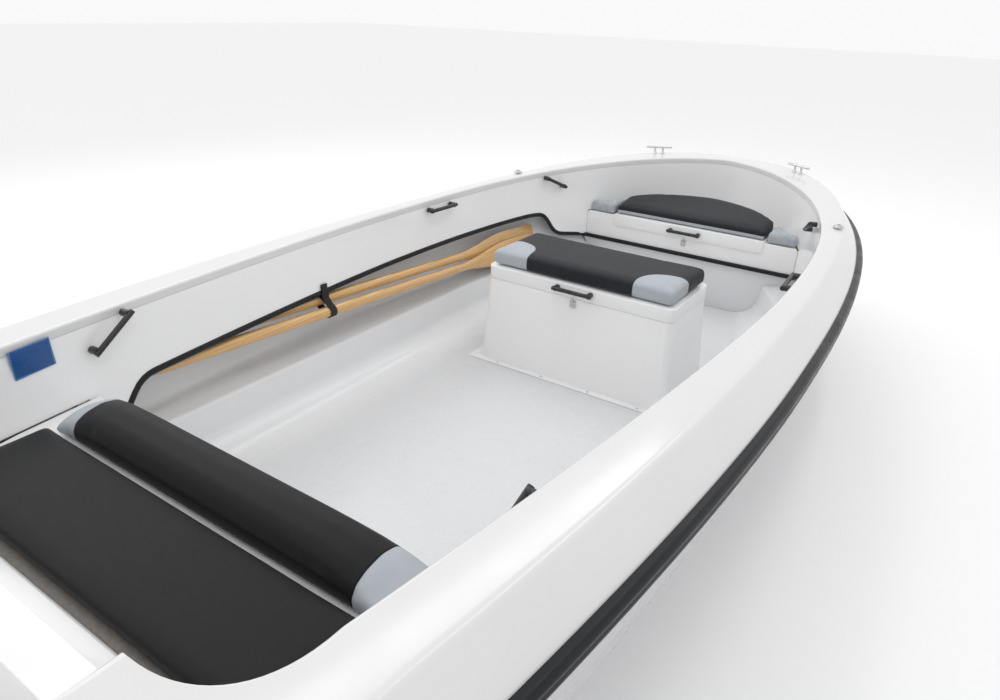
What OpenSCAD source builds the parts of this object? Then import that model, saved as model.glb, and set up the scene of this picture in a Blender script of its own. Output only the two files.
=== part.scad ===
// Open rowing boat, 4.95 m: moulded hull, cockpit liner, benches with lockers, storage box and oars.
// X runs forward, Y to port, Z up. The origin is below the middle of the boat, at the keel bands.

/* [Hull] */
// Length from the transom's top edge to the stem
hull_len = 4950; // [4850:50:5050]
// Beam over the gunwale flange, without the rub rail
hull_beam = 2060; // [2020:20:2100]
// Height of the gunwale's flat top above the keel bands, aft and amidships
gunwale_z = 785; // [770:5:800]
// Rise of the gunwale from amidships to the stem
sheer_rise = 55; // [30:5:70]
// Thickness of the moulded hull skin
hull_skin = 8; // [6:1:10]
// Rake of the transom, degrees
transom_rake = 10; // [6:1:12]
// Height of the cut-out that an outboard motor hangs on
motor_cut_z = 520; // [510:5:530]

/* [Cockpit] */
// Height of the cockpit floor above the keel bands
floor_z = 105; // [100:5:110]
// Thickness of the liner mouldings
liner_skin = 6; // [5:1:7]
// How far the inner side panels lean inboard for each unit of drop
panel_lean = 0.08; // [0.06:0.01:0.1]

/* [Benches and box] */
// Height of the stern and bow bench tops
bench_z = 537; // [532:1:542]
// Depth of the storage box, fore and aft
box_depth = 400; // [380:10:420]
// Width of the storage box at its lid
box_width = 900; // [860:10:920]
// Height of the line between the storage box and its lid
box_top_z = 513; // [505:1:520]
// Length of each oar
oar_len = 2520; // [2450:10:2560]

/* [Hidden] */

stern_x = -hull_len / 2;
stem_x = hull_len / 2;
half_beam = hull_beam / 2;
beam_x = stern_x + 0.47 * hull_len;    // where the outer beam is widest
inner_half = half_beam - 165;          // half width of the cockpit opening
inner_x = stern_x + 2630;              // where the cockpit opening is widest
inner_reach = stem_x - 220 - inner_x;  // from there to its forward end
deck_x = stern_x + 565;                // forward edge of the aft quarter decks
corner_x = stern_x + 790;              // where the rounded aft corner of the opening ends
well_half = 475;                       // half width of the motor well
well_x = stern_x + 465;                // forward wall of the motor well
flange_drop = 165;                     // from the gunwale top to the bottom of its outer flange
gw_skin = 6;                           // thickness of the gunwale moulding
gap = 1;                               // between pieces that meet

function gunwale_top(x) = gunwale_z + sheer_rise * pow(max(0, (x - 200) / (stem_x - 200)), 1.6);
function rake_x(z) = stern_x + (gunwale_z - z) * tan(transom_rake);

// Half width of the gunwale flange and of the cockpit opening at x
function flange_y(x) = x > beam_x
    ? half_beam * pow(max(0, 1 - pow((x - beam_x) / (stem_x - beam_x), 2.6)), 0.4225)
    : half_beam * (1 - 0.2235 * pow((beam_x - x) / (beam_x - stern_x), 1.82));
function inner_y(x) = x > inner_x
    ? inner_half * pow(max(0, 1 - pow((x - inner_x) / inner_reach, 2.6)), 0.62)
    : inner_half * (1 - 0.19 * pow((inner_x - x) / 1840, 1.5));
// The side panels lean inboard aft and amidships, and stand upright at the bow
function lean(x) = panel_lean * (1 - min(1, max(0, (x - 800) / 800)));
function panel_y(x, z) = inner_y(x) - lean(x) * (gunwale_top(x) - z);

// ---- general solids -------------------------------------------------------------------------

// Two triangles for the quad a b c d
function quad(a, b, c, d) = [[a, b, c], [a, c, d]];
function flat(lists) = [for (l = lists) for (e = l) e];

// A closed shell between an outer and an inner grid of points
module skin(outer, inner) {
    rows = len(outer);
    cols = len(outer[0]);
    base = rows * cols;
    function o(r, c) = r * cols + c;
    function i(r, c) = base + r * cols + c;
    faces = flat([
        for (r = [0:rows - 2]) for (c = [0:cols - 2])
            quad(o(r, c), o(r, c + 1), o(r + 1, c + 1), o(r + 1, c)),
        for (r = [0:rows - 2]) for (c = [0:cols - 2])
            quad(i(r + 1, c), i(r + 1, c + 1), i(r, c + 1), i(r, c)),
        for (r = [0:rows - 2]) quad(o(r + 1, 0), i(r + 1, 0), i(r, 0), o(r, 0)),
        for (r = [0:rows - 2])
            quad(o(r, cols - 1), i(r, cols - 1), i(r + 1, cols - 1), o(r + 1, cols - 1)),
        for (c = [0:cols - 2]) quad(o(0, c), i(0, c), i(0, c + 1), o(0, c + 1)),
        for (c = [0:cols - 2])
            quad(o(rows - 1, c + 1), i(rows - 1, c + 1), i(rows - 1, c), o(rows - 1, c))
    ]);
    polyhedron(points = concat(flat(outer), flat(inner)), faces = faces, convexity = 8);
}

// A solid through closed convex loops of equal length
module loft(rows) {
    n = len(rows[0]);
    m = len(rows);
    faces = flat([
        for (r = [0:m - 2]) for (i = [0:n - 1])
            quad(r * n + i, r * n + (i + 1) % n, (r + 1) * n + (i + 1) % n, (r + 1) * n + i),
        [for (i = [1:n - 2]) [0, i + 1, i]],
        [for (i = [1:n - 2]) [(m - 1) * n, (m - 1) * n + i, (m - 1) * n + i + 1]]
    ]);
    polyhedron(points = flat(rows), faces = faces, convexity = 6);
}

// A pad with rounded edges between two corners
module pad(lo, hi, r) {
    hull()
        for (x = [lo[0] + r, hi[0] - r], y = [lo[1] + r, hi[1] - r], z = [lo[2] + r, hi[2] - r])
            translate([x, y, z]) sphere(r = r, $fn = 16);
}

// A plate that lies flat, with rounded corners
module plate(x0, x1, half_y, z0, z1, r) {
    translate([0, 0, z0])
        linear_extrude(height = z1 - z0)
            rounded(x0, x1, half_y, r);
}

module rounded(x0, x1, half_y, r) {
    for (x = [x0 + r, x1 - r], y = [-half_y + r, half_y - r])
        translate([x, y]) circle(r = r, $fn = 32);
    translate([x0 + r, -half_y]) square([x1 - x0 - 2 * r, 2 * half_y]);
    translate([x0, -half_y + r]) square([x1 - x0, 2 * half_y - 2 * r]);
}

// A wall across the boat: its outline is given in Y and Z
module cross_wall(x, t, points) {
    translate([x, 0, 0]) rotate([90, 0, 90]) linear_extrude(height = t) polygon(points);
}

// ---- hull -----------------------------------------------------------------------------------

// One row for each line that runs along the hull, from the keel to the gunwale:
// half width amidships, height amidships, loss of width at the stern, two bow exponents,
// x and z of its end on the stem, where it starts to rise, and the skin's inward offset in Y
STRAKES = [
    [0, 4, 0, 8, 0.5, 2215, 150, 1250, 0],
    [40, 4, 0, 8, 0.5, 2225, 160, 1250, 2],
    [62, 42, 0, 6, 0.5, 2240, 185, 1250, 0],
    [400, 84, 0.12, 2.6, 0.55, 2290, 250, 1500, 0],
    [545, 22, 0.12, 2.8, 0.5, 2312, 290, 1150, -6],
    [575, 4, 0.12, 2.8, 0.5, 2318, 300, 1150, -4],
    [665, 4, 0.13, 2.8, 0.5, 2330, 325, 1100, 3],
    [700, 22, 0.13, 2.8, 0.5, 2340, 350, 1000, 8],
    [908, 262, 0.19, 2.6, 0.48, 2395, 500, -200, 9],
    [938, 290, 0.20, 2.6, 0.47, 2402, 520, -200, 9],
    [982, 470, 0.21, 2.6, 0.45, 2438, 605, -200, 9]
];
SIDE_LINES = 13;
function on_flange(j) = j > 10;
flange_gap = 16;  // from the outside of the gunwale flange to the outside of the hull below it
function strake_end(j) = on_flange(j) ? stem_x - flange_gap : STRAKES[j][5];
function strake_y(j, x, inset = 0, back = 0) =
    let (end = strake_end(j) - back)
    let (b = (on_flange(j) ? half_beam - flange_gap : STRAKES[j][0]) - inset)
    let (drop = on_flange(j) ? 0.2235 : STRAKES[j][2])
    let (p = on_flange(j) ? 2.6 : STRAKES[j][3])
    let (r = on_flange(j) ? 0.4225 : STRAKES[j][4])
    x > beam_x
        ? b * pow(max(0, 1 - pow(min(1, (x - beam_x) / (end - beam_x)), p)), r)
        : b * (1 - drop * pow((beam_x - x) / (beam_x - stern_x), 1.82));
function strake_z(j, x) = on_flange(j)
    ? gunwale_top(x) - (j == 11 ? flange_drop + 2 : flange_drop - 37)
    : STRAKES[j][1] + (STRAKES[j][6] - STRAKES[j][1])
        * pow(max(0, (x - STRAKES[j][7]) / (STRAKES[j][5] - STRAKES[j][7])), 2);

// Half width of the hull's outside at x and height z, from the bilge up
function hull_y(x, z) = lookup(z, [for (j = [7:SIDE_LINES - 1]) [strake_z(j, x), strake_y(j, x)]]);

HULL_ROWS = 30;
function hull_share(k) = sin(90 * k / HULL_ROWS);
function hull_point(j, k, side) =
    let (x0 = rake_x(strake_z(j, stern_x)))
    let (x = x0 + hull_share(k) * (strake_end(j) - x0))
    [x, side * (j == 0 ? 0 : max(9, strake_y(j, x))), strake_z(j, x)];
function hull_inner_point(j, k, side) =
    let (inset = on_flange(j) ? hull_skin : STRAKES[j][8])
    let (up = j < 8 ? hull_skin : 0)
    let (x0 = rake_x(strake_z(j, stern_x)))
    let (x = x0 + hull_share(k) * (strake_end(j) - 14 - x0))
    [x, side * (j == 0 ? 0 : max(1, strake_y(j, x, inset, 14))), strake_z(j, x + 14 * hull_share(k)) + up];

module hull_shell() {
    top = SIDE_LINES - 1;
    color("white")
        skin(
            [for (k = [0:HULL_ROWS]) concat(
                [for (j = [top:-1:1]) hull_point(j, k, -1)],
                [for (j = [0:top]) hull_point(j, k, 1)])],
            [for (k = [0:HULL_ROWS]) concat(
                [for (j = [top:-1:1]) hull_inner_point(j, k, -1)],
                [for (j = [0:top]) hull_inner_point(j, k, 1)])]
        );
}

// Flat metal bands that the boat stands on
band_t = 4;
band_w = 36;
module keel_bands() {
    ends = [stern_x + 420, 1060];
    xs = [for (i = [0:12]) ends[0] + i * (ends[1] - ends[0]) / 12];
    function mid(x) = (strake_y(5, x) + strake_y(6, x)) / 2;
    color("silver") {
        translate([stern_x + 150, -20, 0]) cube([1200 - stern_x - 150, 40, band_t]);
        for (side = [0, 1])
            mirror([0, side, 0])
                linear_extrude(height = band_t)
                    polygon(concat(
                        [for (x = xs) [x, mid(x) - band_w / 2]],
                        [for (i = [12:-1:0]) [xs[i], mid(xs[i]) + band_w / 2]]
                    ));
    }
}

// Metal band up the stem, over the line where the two sides of the hull meet
STEM_LINE = [for (j = [0:SIDE_LINES - 2]) [strake_end(j), strake_z(j, strake_end(j))]];
module stem_band() {
    line = STEM_LINE;
    color("silver")
        rotate([90, 0, 0])
            linear_extrude(height = 30, center = true)
                polygon(concat(
                    [for (p = line) [p[0] + 0.6, p[1] - 0.6]],
                    [for (i = [len(line) - 1:-1:0]) [line[i][0] + 5,
                        line[i][1] - (i == len(line) - 1 ? 0.6 : 4)]]
                ));
}

// The transom's outline inside the hull skin, as [y, height], for one side
function transom_side() = concat(
    [for (j = [0:SIDE_LINES - 1])
        let (p = hull_inner_point(j, 0, 1))
        [max(0, p[1] - gap), p[2] + (j < 8 ? gap : 0)]],
    [[flange_y(stern_x) - 30, gunwale_z - 112], [flange_y(stern_x) - 100, gunwale_z - 24]]
);
function up_plate(z) = (z - gunwale_z) / cos(transom_rake);

module transom() {
    t = 42;
    half = [for (p = transom_side()) [p[0], up_plate(p[1])]];
    other = [for (i = [len(half) - 1:-1:1]) [-half[i][0], half[i][1]]];
    color("white")
        translate([stern_x, 0, gunwale_z])
            rotate([0, -transom_rake, 0])
                difference() {
                    rotate([90, 0, 90]) linear_extrude(height = t) polygon(concat(half, other));
                    translate([-1, -360, up_plate(motor_cut_z)]) cube([t + 2, 720, 400]);
                    // clear of the lip round the motor well
                    translate([-1, -well_half - 7, up_plate(gunwale_z - 39)])
                        cube([t + 2, 2 * well_half + 14, 400]);
                    for (y = [-380, 380])
                        translate([0, y, up_plate(150)]) rotate([0, 90, 0])
                            cylinder(r = 5, h = t * 3, center = true, $fn = 24);
                    translate([0, 0, up_plate(75)]) rotate([0, 90, 0])
                        cylinder(r = 12.5, h = t * 3, center = true, $fn = 32);
                }
}

// Clamping pads for an outboard motor, outside and inside the transom
module motor_pads() {
    color("dimgray")
        translate([stern_x, 0, gunwale_z])
            rotate([0, -transom_rake, 0]) {
                translate([-9, -150, up_plate(motor_cut_z) - 210]) cube([8.5, 300, 205]);
                translate([42.5, -150, up_plate(motor_cut_z) - 110]) cube([8.5, 300, 105]);
            }
}

// Open well in front of the transom, its forward coaming and the wall below the coaming
module motor_well() {
    low = motor_cut_z - 22;
    t = liner_skin;
    coaming_z = gunwale_z - 15;
    aft = rake_x(low) + 54;
    color("whitesmoke") {
        translate([aft, -well_half + gap, low]) cube([well_x - aft, 2 * well_half - 2 * gap, t]);
        for (side = [-1, 1])
            translate([aft, side > 0 ? well_half - gap - t : -well_half + gap, low])
                cube([well_x - aft, t, gunwale_z - 32 - low]);
        translate([well_x - t, -well_half + gap, low]) cube([t, 2 * well_half - 2 * gap, coaming_z - low]);
        translate([well_x - t, -well_half + gap, coaming_z - t])
            cube([deck_x - 30 - well_x + t, 2 * well_half - 2 * gap, t]);
        translate([deck_x - 30 - t, -well_half + gap, bench_z + gap])
            cube([t, 2 * well_half - 2 * gap, coaming_z - bench_z - gap]);
    }
}

// ---- gunwale --------------------------------------------------------------------------------

AFT_ROWS = 3;
CORNER_ROWS = 7;
SIDE_ROWS = 10;
BOW_ROWS = 14;

// Points round the port half of the cockpit opening, from the transom to the bow
function corner_point(s) =
    let (rx = corner_x - deck_x)
    let (ry = inner_y(corner_x) - well_half)
    [corner_x - rx * pow(cos(90 * s), 0.8), well_half + ry * pow(sin(90 * s), 0.8)];
INNER_AFT = [for (i = [0:AFT_ROWS - 1]) [stern_x + i * (deck_x - stern_x) / AFT_ROWS, well_half]];
INNER_CORNER = [for (i = [0:CORNER_ROWS - 1]) corner_point(i / (CORNER_ROWS - 1))];
INNER_SIDE = [for (i = [1:SIDE_ROWS])
    let (x = corner_x + i * (inner_x - corner_x) / SIDE_ROWS) [x, inner_y(x)]];
INNER_BOW = [for (i = [1:BOW_ROWS])
    let (x = inner_x + inner_reach * sin(90 * i / BOW_ROWS)) [x, inner_y(x)]];
INNER = concat(INNER_AFT, INNER_CORNER, INNER_SIDE, INNER_BOW);

// The matching points on the outer flange
OUTER_CORNER = [for (i = [0:CORNER_ROWS - 1])
    let (x = deck_x + i * (corner_x - deck_x) / (CORNER_ROWS - 1)) [x, flange_y(x)]];
function outer_bow_x(x) = x + (stem_x - inner_x - inner_reach) * pow((x - inner_x) / inner_reach, 3);
OUTER = concat(
    [for (p = INNER_AFT) [p[0], flange_y(p[0])]],
    OUTER_CORNER,
    [for (p = INNER_SIDE) [p[0], flange_y(p[0])]],
    [for (p = INNER_BOW) let (x = outer_bow_x(p[0])) [x, flange_y(x)]]
);
PORT_ROWS = len(INNER);

// A point d inward (+) from the flange or d outward from the opening, in row k, z below the top
function on_row(k, d, z, from_flange, side) =
    let (a = INNER[k])
    let (b = OUTER[k])
    let (w = norm(b - a))
    let (n = (b - a) / w)
    let (q = from_flange ? b - n * d : a + n * d)
    let (aft = k == 0 ? -z * tan(transom_rake) : 0)
    [q[0] + aft, side * q[1], gunwale_top(q[0]) + z];
function gunwale_row(k, profile, side) = [for (p = profile) on_row(k, p[0], p[1], p[2], side)];

// Profile points: distance, drop, and whether the distance is from the outer flange
GUNWALE_OUT = [
    [0, -30, false], [0, -9, false], [3, -2.5, false], [10, 0, false], [90, -4, true],
    [78, -8, true], [8, -98, true], [0, -110, true], [0, -flange_drop, true]
];
GUNWALE_IN = [
    [gw_skin, -30, false], [gw_skin, -12, false], [8, -8, false], [12, -6, false], [92, -10, true],
    [82, -14, true], [14, -101, true], [gw_skin, -112, true], [gw_skin, -flange_drop, true]
];
ALL_ROWS = concat([for (k = [0:PORT_ROWS - 1]) [k, 1]], [for (k = [PORT_ROWS - 2:-1:0]) [k, -1]]);

module gunwale_deck() {
    color("white")
        difference() {
            skin(
                [for (r = ALL_ROWS) gunwale_row(r[0], GUNWALE_IN, r[1])],
                [for (r = ALL_ROWS) gunwale_row(r[0], GUNWALE_OUT, r[1])]
            );
            for (side = [-1, 1])
                translate([ROWLOCK[0], side * ROWLOCK[1], gunwale_z - 60])
                    cylinder(r = socket_r + 0.8, h = 150, $fn = 24);
        }
}

RAIL_PROFILE = [
    [-0.5, -116, true], [-22, -118, true], [-30, -128, true], [-31, -140, true],
    [-30, -152, true], [-22, -163, true], [-0.5, -165, true]
];

module rub_rail() {
    color("black")
        loft([for (r = ALL_ROWS) gunwale_row(r[0], RAIL_PROFILE, r[1])]);
}

// ---- cockpit --------------------------------------------------------------------------------

// Lower edge of the side panels: height at each x, between the two benches
ARCH = [
    [-1262, 425], [-1185, 517], [-1160, 531], [-1120, 537], [200, 538], [1250, 568], [1310, 562],
    [1345, 535], [1405, 455], [1435, 432], [1500, 418], [1655, 392]
];
stern_front_x = stern_x + 1160;
bow_front_x = stem_x - 820;
function panel_foot(x) =
    x < stern_front_x - 30 ? bench_z + gap :
    x < ARCH[0][0] ? 400 :
    x > bow_front_x + 1 ? bench_z + gap + 8 : lookup(x, ARCH);

ROWLOCK = [1205, 848];
PANEL_XS = concat(
    [for (i = [1:3]) corner_x + i * (stern_front_x - 31 - corner_x) / 3],
    [stern_front_x - 29, ARCH[0][0] - 1],
    [for (p = ARCH) p[0]],
    [for (x = [-950:180:1150]) x],
    [bow_front_x + 2],
    [for (i = [BOW_ROWS / 2 + 1:BOW_ROWS]) inner_x + inner_reach * sin(90 * i / BOW_ROWS)]
);
function sorted(v) = len(v) < 2 ? v :
    let (m = v[floor(len(v) / 2)])
    concat(sorted([for (e = v) if (e < m) e]), [for (e = v) if (e == m) m],
        sorted([for (e = v) if (e > m) e]));
PANEL_LINE = concat(
    [for (i = [0:CORNER_ROWS - 1]) corner_point(i / (CORNER_ROWS - 1))],
    [for (x = sorted(PANEL_XS)) [x, inner_y(x)]]
);
function panel_point(i, f, t) =
    let (p = PANEL_LINE[i])
    let (a = PANEL_LINE[max(0, i - 1)])
    let (b = PANEL_LINE[min(len(PANEL_LINE) - 1, i + 1)])
    let (d = b - a)
    let (n = i == len(PANEL_LINE) - 1 ? [1, 0] : [-d[1], d[0]] / norm(d))
    let (top = gunwale_top(p[0]) - 30 - gap)
    let (z = top + f * (panel_foot(p[0]) - top))
    let (q = p - n * lean(p[0]) * (gunwale_top(p[0]) - z - 30) + n * t)
    [q[0], max(gap / 2, q[1]), z];

module side_panel() {
    last = len(PANEL_LINE) - 1;
    skin(
        [for (i = [0:last]) [for (f = [0, 0.5, 1]) panel_point(i, f, 0)]],
        [for (i = [0:last]) [for (f = [0, 0.5, 1]) panel_point(i, f, liner_skin)]]
    );
}

module side_panel_port() {
    color("white") side_panel();
}

module side_panel_starboard() {
    color("white") mirror([0, 1, 0]) side_panel();
}

// Black rubber edging along both arches and the bow bench's lower edge
TRIM_XS = concat([for (x = [-900:300:900]) x], [for (i = [0:len(ARCH) - 2]) ARCH[i][0]], [1085, 1575]);
TRIM_SIDE = [for (x = sorted(TRIM_XS)) [x, panel_y(x, lookup(x, ARCH)) + 3, lookup(x, ARCH) - 5]];
trim_corner = panel_y(1620, 392);
TRIM_PATH = concat(
    TRIM_SIDE,
    [[1622, trim_corner - 6, 391], [1645, trim_corner - 36, 387]],
    [for (y = [540:-180:-540]) [1650, y, 386]],
    [[1645, 36 - trim_corner, 387], [1622, 6 - trim_corner, 391]],
    [for (i = [len(TRIM_SIDE) - 1:-1:0]) [TRIM_SIDE[i][0], -TRIM_SIDE[i][1], TRIM_SIDE[i][2]]]
);
function unit(v) = v / norm(v);
function tube_ring(path, i, r, sides) =
    let (t = unit(path[min(len(path) - 1, i + 1)] - path[max(0, i - 1)]))
    let (s = unit(cross(t, [0, 0, 1])))
    let (u = cross(s, t))
    [for (a = [0:sides - 1])
        path[i] + s * r * 0.62 * cos(360 * a / sides) + u * r * sin(360 * a / sides)];

module edge_trim() {
    color("black")
        loft([for (i = [0:len(TRIM_PATH) - 1]) tube_ring(TRIM_PATH, i, 12, 8)]);
}

// Floor and sides of the cockpit: half section at x, from the middle of the floor to the top
tub_x0 = stern_front_x + 2;
tub_x1 = bow_front_x + 17;
// From the outside of the hull to the outside of the tub's upper side, more where the hull narrows
function tub_in(x) = 22 + 20 * min(1, max(0, (x - 700) / 990));
function tub_width(x) = x < 700 ? 1 : 1 - 0.42 * pow((x - 700) / 990, 1.7);
function floor_lift(x) = 3 * min(1, max(0, (x - 1500) / 140));
function tub_half(x, up) =
    let (base = floor_z + floor_lift(x))
    let (f = tub_width(x))
    let (knee = min(795 * f, hull_y(x, 300) - tub_in(x) - 20))
    let (ledge = max(knee + 3, hull_y(x, 340) - tub_in(x)))
    [
        [0, base + up], [540 * f, base + up], [620 * f, base + 9 + up],
        [700 * f - up * 0.3, floor_z + 34 + up], [755 * f - up * 0.7, floor_z + 76 + up * 0.7],
        [768 * f - up, floor_z + 94 + up * 0.3], [knee - up, floor_z + 195 + up * 0.2],
        [ledge - up, floor_z + 228 + up * 0.5], [hull_y(x, 450) - tub_in(x) - up, 450],
        [hull_y(x, 600) - tub_in(x) - up, 600]
    ];
function tub_row(x, up) =
    let (h = tub_half(x, up))
    concat(
        [for (i = [len(h) - 1:-1:1]) [x, -h[i][0], h[i][1]]],
        [for (p = h) [x, p[0], p[1]]]
    );

module cockpit_tub() {
    xs = concat([for (i = [0:5]) tub_x0 + i * (700 - tub_x0) / 5.5],
        [for (i = [1:9]) 700 + i * (tub_x1 - 700) / 9]);
    color("gainsboro")
        skin(
            [for (x = xs) tub_row(x, -liner_skin)],
            [for (x = xs) tub_row(x, 0)]
        );
}

// ---- bow bench ------------------------------------------------------------------------------

function wall_side(x, zs, inset) = [for (z = zs) [hull_y(x, z) - inset, z]];
function mirrored(half) = concat(half, [for (i = [len(half) - 1:-1:0]) [-half[i][0], half[i][1]]]);

module bow_riser() {
    x = tub_x1 + gap;
    half = concat([[430, floor_z + 1]], wall_side(x, [230, 300, 380, 450, bench_z - 9 - gap], tub_in(x) + 4));
    color("lightgray") cross_wall(x, liner_skin, mirrored(half));
}

lid_half = 440;           // half width of the bow locker lid
lid_reach = 462;          // how far the lid runs forward of the bench's front
cushion_reach = 452;      // and its cushion
crescent_half = 520;      // half width at which the crescent's curve would end
bow_hinge_x = 2138;
// Forward edge of the crescent at y
function crescent_x(y, reach) =
    bow_front_x + 5 + reach * pow(max(0, 1 - pow(abs(y) / crescent_half, 1.6)), 0.6);

module crescent(reach, cut, x0) {
    polygon(concat(
        [[x0, -cut], [x0, cut]],
        [for (i = [0:16]) let (y = cut * (1 - i / 8)) [crescent_x(y, reach), y]]
    ));
}

module bow_bench() {
    top = 8;
    wall_x = bow_front_x - 2;
    end_x = inner_x + inner_reach - 8;
    xs = [for (i = [0:18]) wall_x + (end_x - wall_x) * sin(5 * i)];
    half = [for (x = xs) [x, max(0, panel_y(x, bench_z) - (x > bow_front_x + 1 ? 2 : 8))]];
    face = [for (z = [392, bench_z - top]) [panel_y(bow_front_x, z) - gap, z]];
    color("ivory") {
        translate([0, 0, bench_z - top])
            linear_extrude(height = top)
                difference() {
                    polygon(concat(half, [for (i = [len(half) - 2:-1:0]) [half[i][0], -half[i][1]]]));
                    translate([bow_front_x + 45, -370]) square([190, 740]);
                    translate([bow_front_x + 45, -230]) square([360, 460]);
                }
        cross_wall(wall_x, liner_skin, mirrored(face));
    }
}

module bow_locker_lid() {
    z0 = bench_z + 0.5;
    color("ivory") {
        translate([0, 0, z0])
            linear_extrude(height = 7)
                crescent(lid_reach, lid_half, bow_front_x - 9);
        translate([bow_front_x - 9, 0, 0])
            rotate([90, 0, 90])
                linear_extrude(height = 6) {
                    translate([-lid_half, 504]) square([2 * lid_half, z0 - 504]);
                    translate([-lid_half + 25, 479]) square([2 * lid_half - 50, 30]);
                    for (y = [-lid_half + 25, lid_half - 25])
                        translate([y, 504]) circle(r = 25, $fn = 48);
                }
    }
}

// Crescent cushion: a section in X and Z at each y
function crescent_row(y) =
    let (x0 = bow_front_x + 3)
    let (x1 = crescent_x(y, cushion_reach))
    let (d = x1 - x0)
    let (z0 = bench_z + 8)
    let (s = pow(max(0, 1 - pow(abs(y) / 470, 4)), 0.5))
    let (front = 46 + 10 * s)
    let (crest = 66 + 26 * s)
    [
        [x0 + 3, y, z0], [x0, y, z0 + 12], [x0 - 3, y, z0 + front - 12], [x0 + 8, y, z0 + front],
        [x0 + d * 0.45, y, z0 + (front + crest) / 2 + 4], [x0 + d * 0.75, y, z0 + crest],
        [x0 + d * 0.92, y, z0 + crest - 6], [x1, y, z0 + crest - 32], [x1, y, z0 + 6], [x1 - 6, y, z0]
    ];

module bow_cushion() {
    color("darkslategray")
        loft([for (i = [0:18]) crescent_row(442 - 884 * i / 18)]);
}

// Light end pads, fixed to the bench beside the lid
pad_end = 603;
pad_gap = 6;              // clear of the side panel
function end_pad_row(y) =
    let (x0 = bow_front_x + 3)
    let (room = inner_x + inner_reach * pow(1 - pow((y + pad_gap) / inner_half, 1 / 0.62), 1 / 2.6))
    let (want = min(crescent_x(y, cushion_reach) + 40, x0 + (606 - y) * 1.6 + 20))
    let (x1 = min(room, max(x0 + 60, want)))
    let (h = 62)
    let (z0 = bench_z + 1)
    [
        [x0 + 3, y, z0], [x0, y, z0 + 10], [x0, y, z0 + h - 14], [x0 + 8, y, z0 + h],
        [x0 + (x1 - x0) * 0.6, y, z0 + h + 5], [x1 - 6, y, z0 + h - 4], [x1, y, z0 + h * 0.5], [x1 - 3, y, z0]
    ];

module bow_end_pads() {
    color("lightsteelblue")
        for (side = [0, 1])
            mirror([0, side, 0])
                loft([for (i = [0:8]) end_pad_row(pad_end - (pad_end - 448) * i / 8)]);
}

// A grab handle: a bar on two feet. It lies along X and stands out along Z.
module grab_handle(length, stand) {
    bar_r = 9;
    foot_r = 12;
    for (x = [-1, 1])
        translate([x * (length / 2 - foot_r - 2), 0, 0]) cylinder(r = foot_r, h = stand - bar_r, $fn = 32);
    translate([-length / 2, 0, stand - bar_r]) rotate([0, 90, 0]) cylinder(r = bar_r, h = length, $fn = 32);
}

// A toggle latch: a base plate, a hook and its lever, facing aft
module latch(x, z) {
    translate([x - 3, -14, z - 34]) cube([3, 28, 34]);
    translate([x - 9, -9, z - 30]) cube([6, 18, 26]);
    translate([x - 12, -4, z - 10]) cube([4, 8, 26]);
}

module bow_lid_handle() {
    color("black")
        translate([bow_front_x - 9.2, 0, 516]) rotate([0, -90, 0]) rotate([0, 0, 90]) grab_handle(190, 36);
}

module bow_latch() {
    color("silver") latch(bow_front_x - 2.2, 470);
}

// ---- stern bench ----------------------------------------------------------------------------

stern_back_x = deck_x - 30;
stern_lid_x0 = stern_x + 652;
stern_lid_x1 = stern_x + 960;
stern_lid_half = 600;

module stern_bench() {
    top = 8;
    xs = [stern_back_x, deck_x + 2, deck_x + 20, deck_x + 60, deck_x + 120, corner_x, corner_x + 120,
        stern_front_x];
    function reach(x) = x > corner_x ? panel_y(x, bench_z) - 3 :
        well_half - 34 + (inner_y(corner_x) - well_half) * pow(max(0,
            1 - pow((corner_x - x) / (corner_x - deck_x), 2.3)), 0.43);
    half = [for (x = xs) [x, x < deck_x ? well_half - 34 : reach(x)]];
    wall_x = stern_front_x - 8;
    foot = 400;
    wall = concat(
        [[30, 74]], wall_side(wall_x, [150, 210, 300, foot - 4], 16),
        [for (z = [foot - 1, bench_z - top - gap]) [panel_y(wall_x, z) - gap, z]]
    );
    color("whitesmoke") {
        translate([0, 0, bench_z - top])
            linear_extrude(height = top)
                difference() {
                    polygon(concat(half, [for (i = [len(half) - 1:-1:0]) [half[i][0], -half[i][1]]]));
                    translate([stern_lid_x0 + 40, -560]) square([stern_lid_x1 - stern_lid_x0 - 75, 1120]);
                }
        cross_wall(wall_x, liner_skin, mirrored(wall));
    }
}

module stern_locker_lid() {
    color("gray") plate(stern_lid_x0, stern_lid_x1, stern_lid_half - 10, bench_z + 0.5, bench_z + 11, 20);
}

module stern_cushion() {
    color("black")
        pad([stern_lid_x0 + 3, -stern_lid_half, bench_z + 11], [stern_lid_x1, stern_lid_half,
            bench_z + 53], 12);
}

// Raised roll along the front of the stern bench: a section in X and Z at each y
function bolster_row(y) =
    let (x0 = stern_lid_x1 + 6)
    let (e = pow(max(0, 1 - pow(abs(y) / 640, 6)), 0.5))
    let (z0 = bench_z + 1)
    [
        [x0 + 4, y, z0], [x0, y, z0 + 14], [x0, y, z0 + 50 * e], [x0 + 14, y, z0 + 66 * e],
        [x0 + 55, y, z0 + 92 * e], [x0 + 105, y, z0 + 103 * e], [x0 + 150, y, z0 + 92 * e],
        [x0 + 182, y, z0 + 58 * e], [x0 + 192, y, z0 + 22], [x0 + 188, y, z0]
    ];

module stern_bolster() {
    color("darkgray")
        loft([for (i = [0:16]) bolster_row(615 - 1230 * i / 16)]);
}

// ---- storage box ----------------------------------------------------------------------------

box_x0 = stern_x + 2832;
box_x1 = box_x0 + box_depth;
box_half = box_width / 2;
box_r = 35;
box_flare = 14;
box_t = 5;

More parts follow.
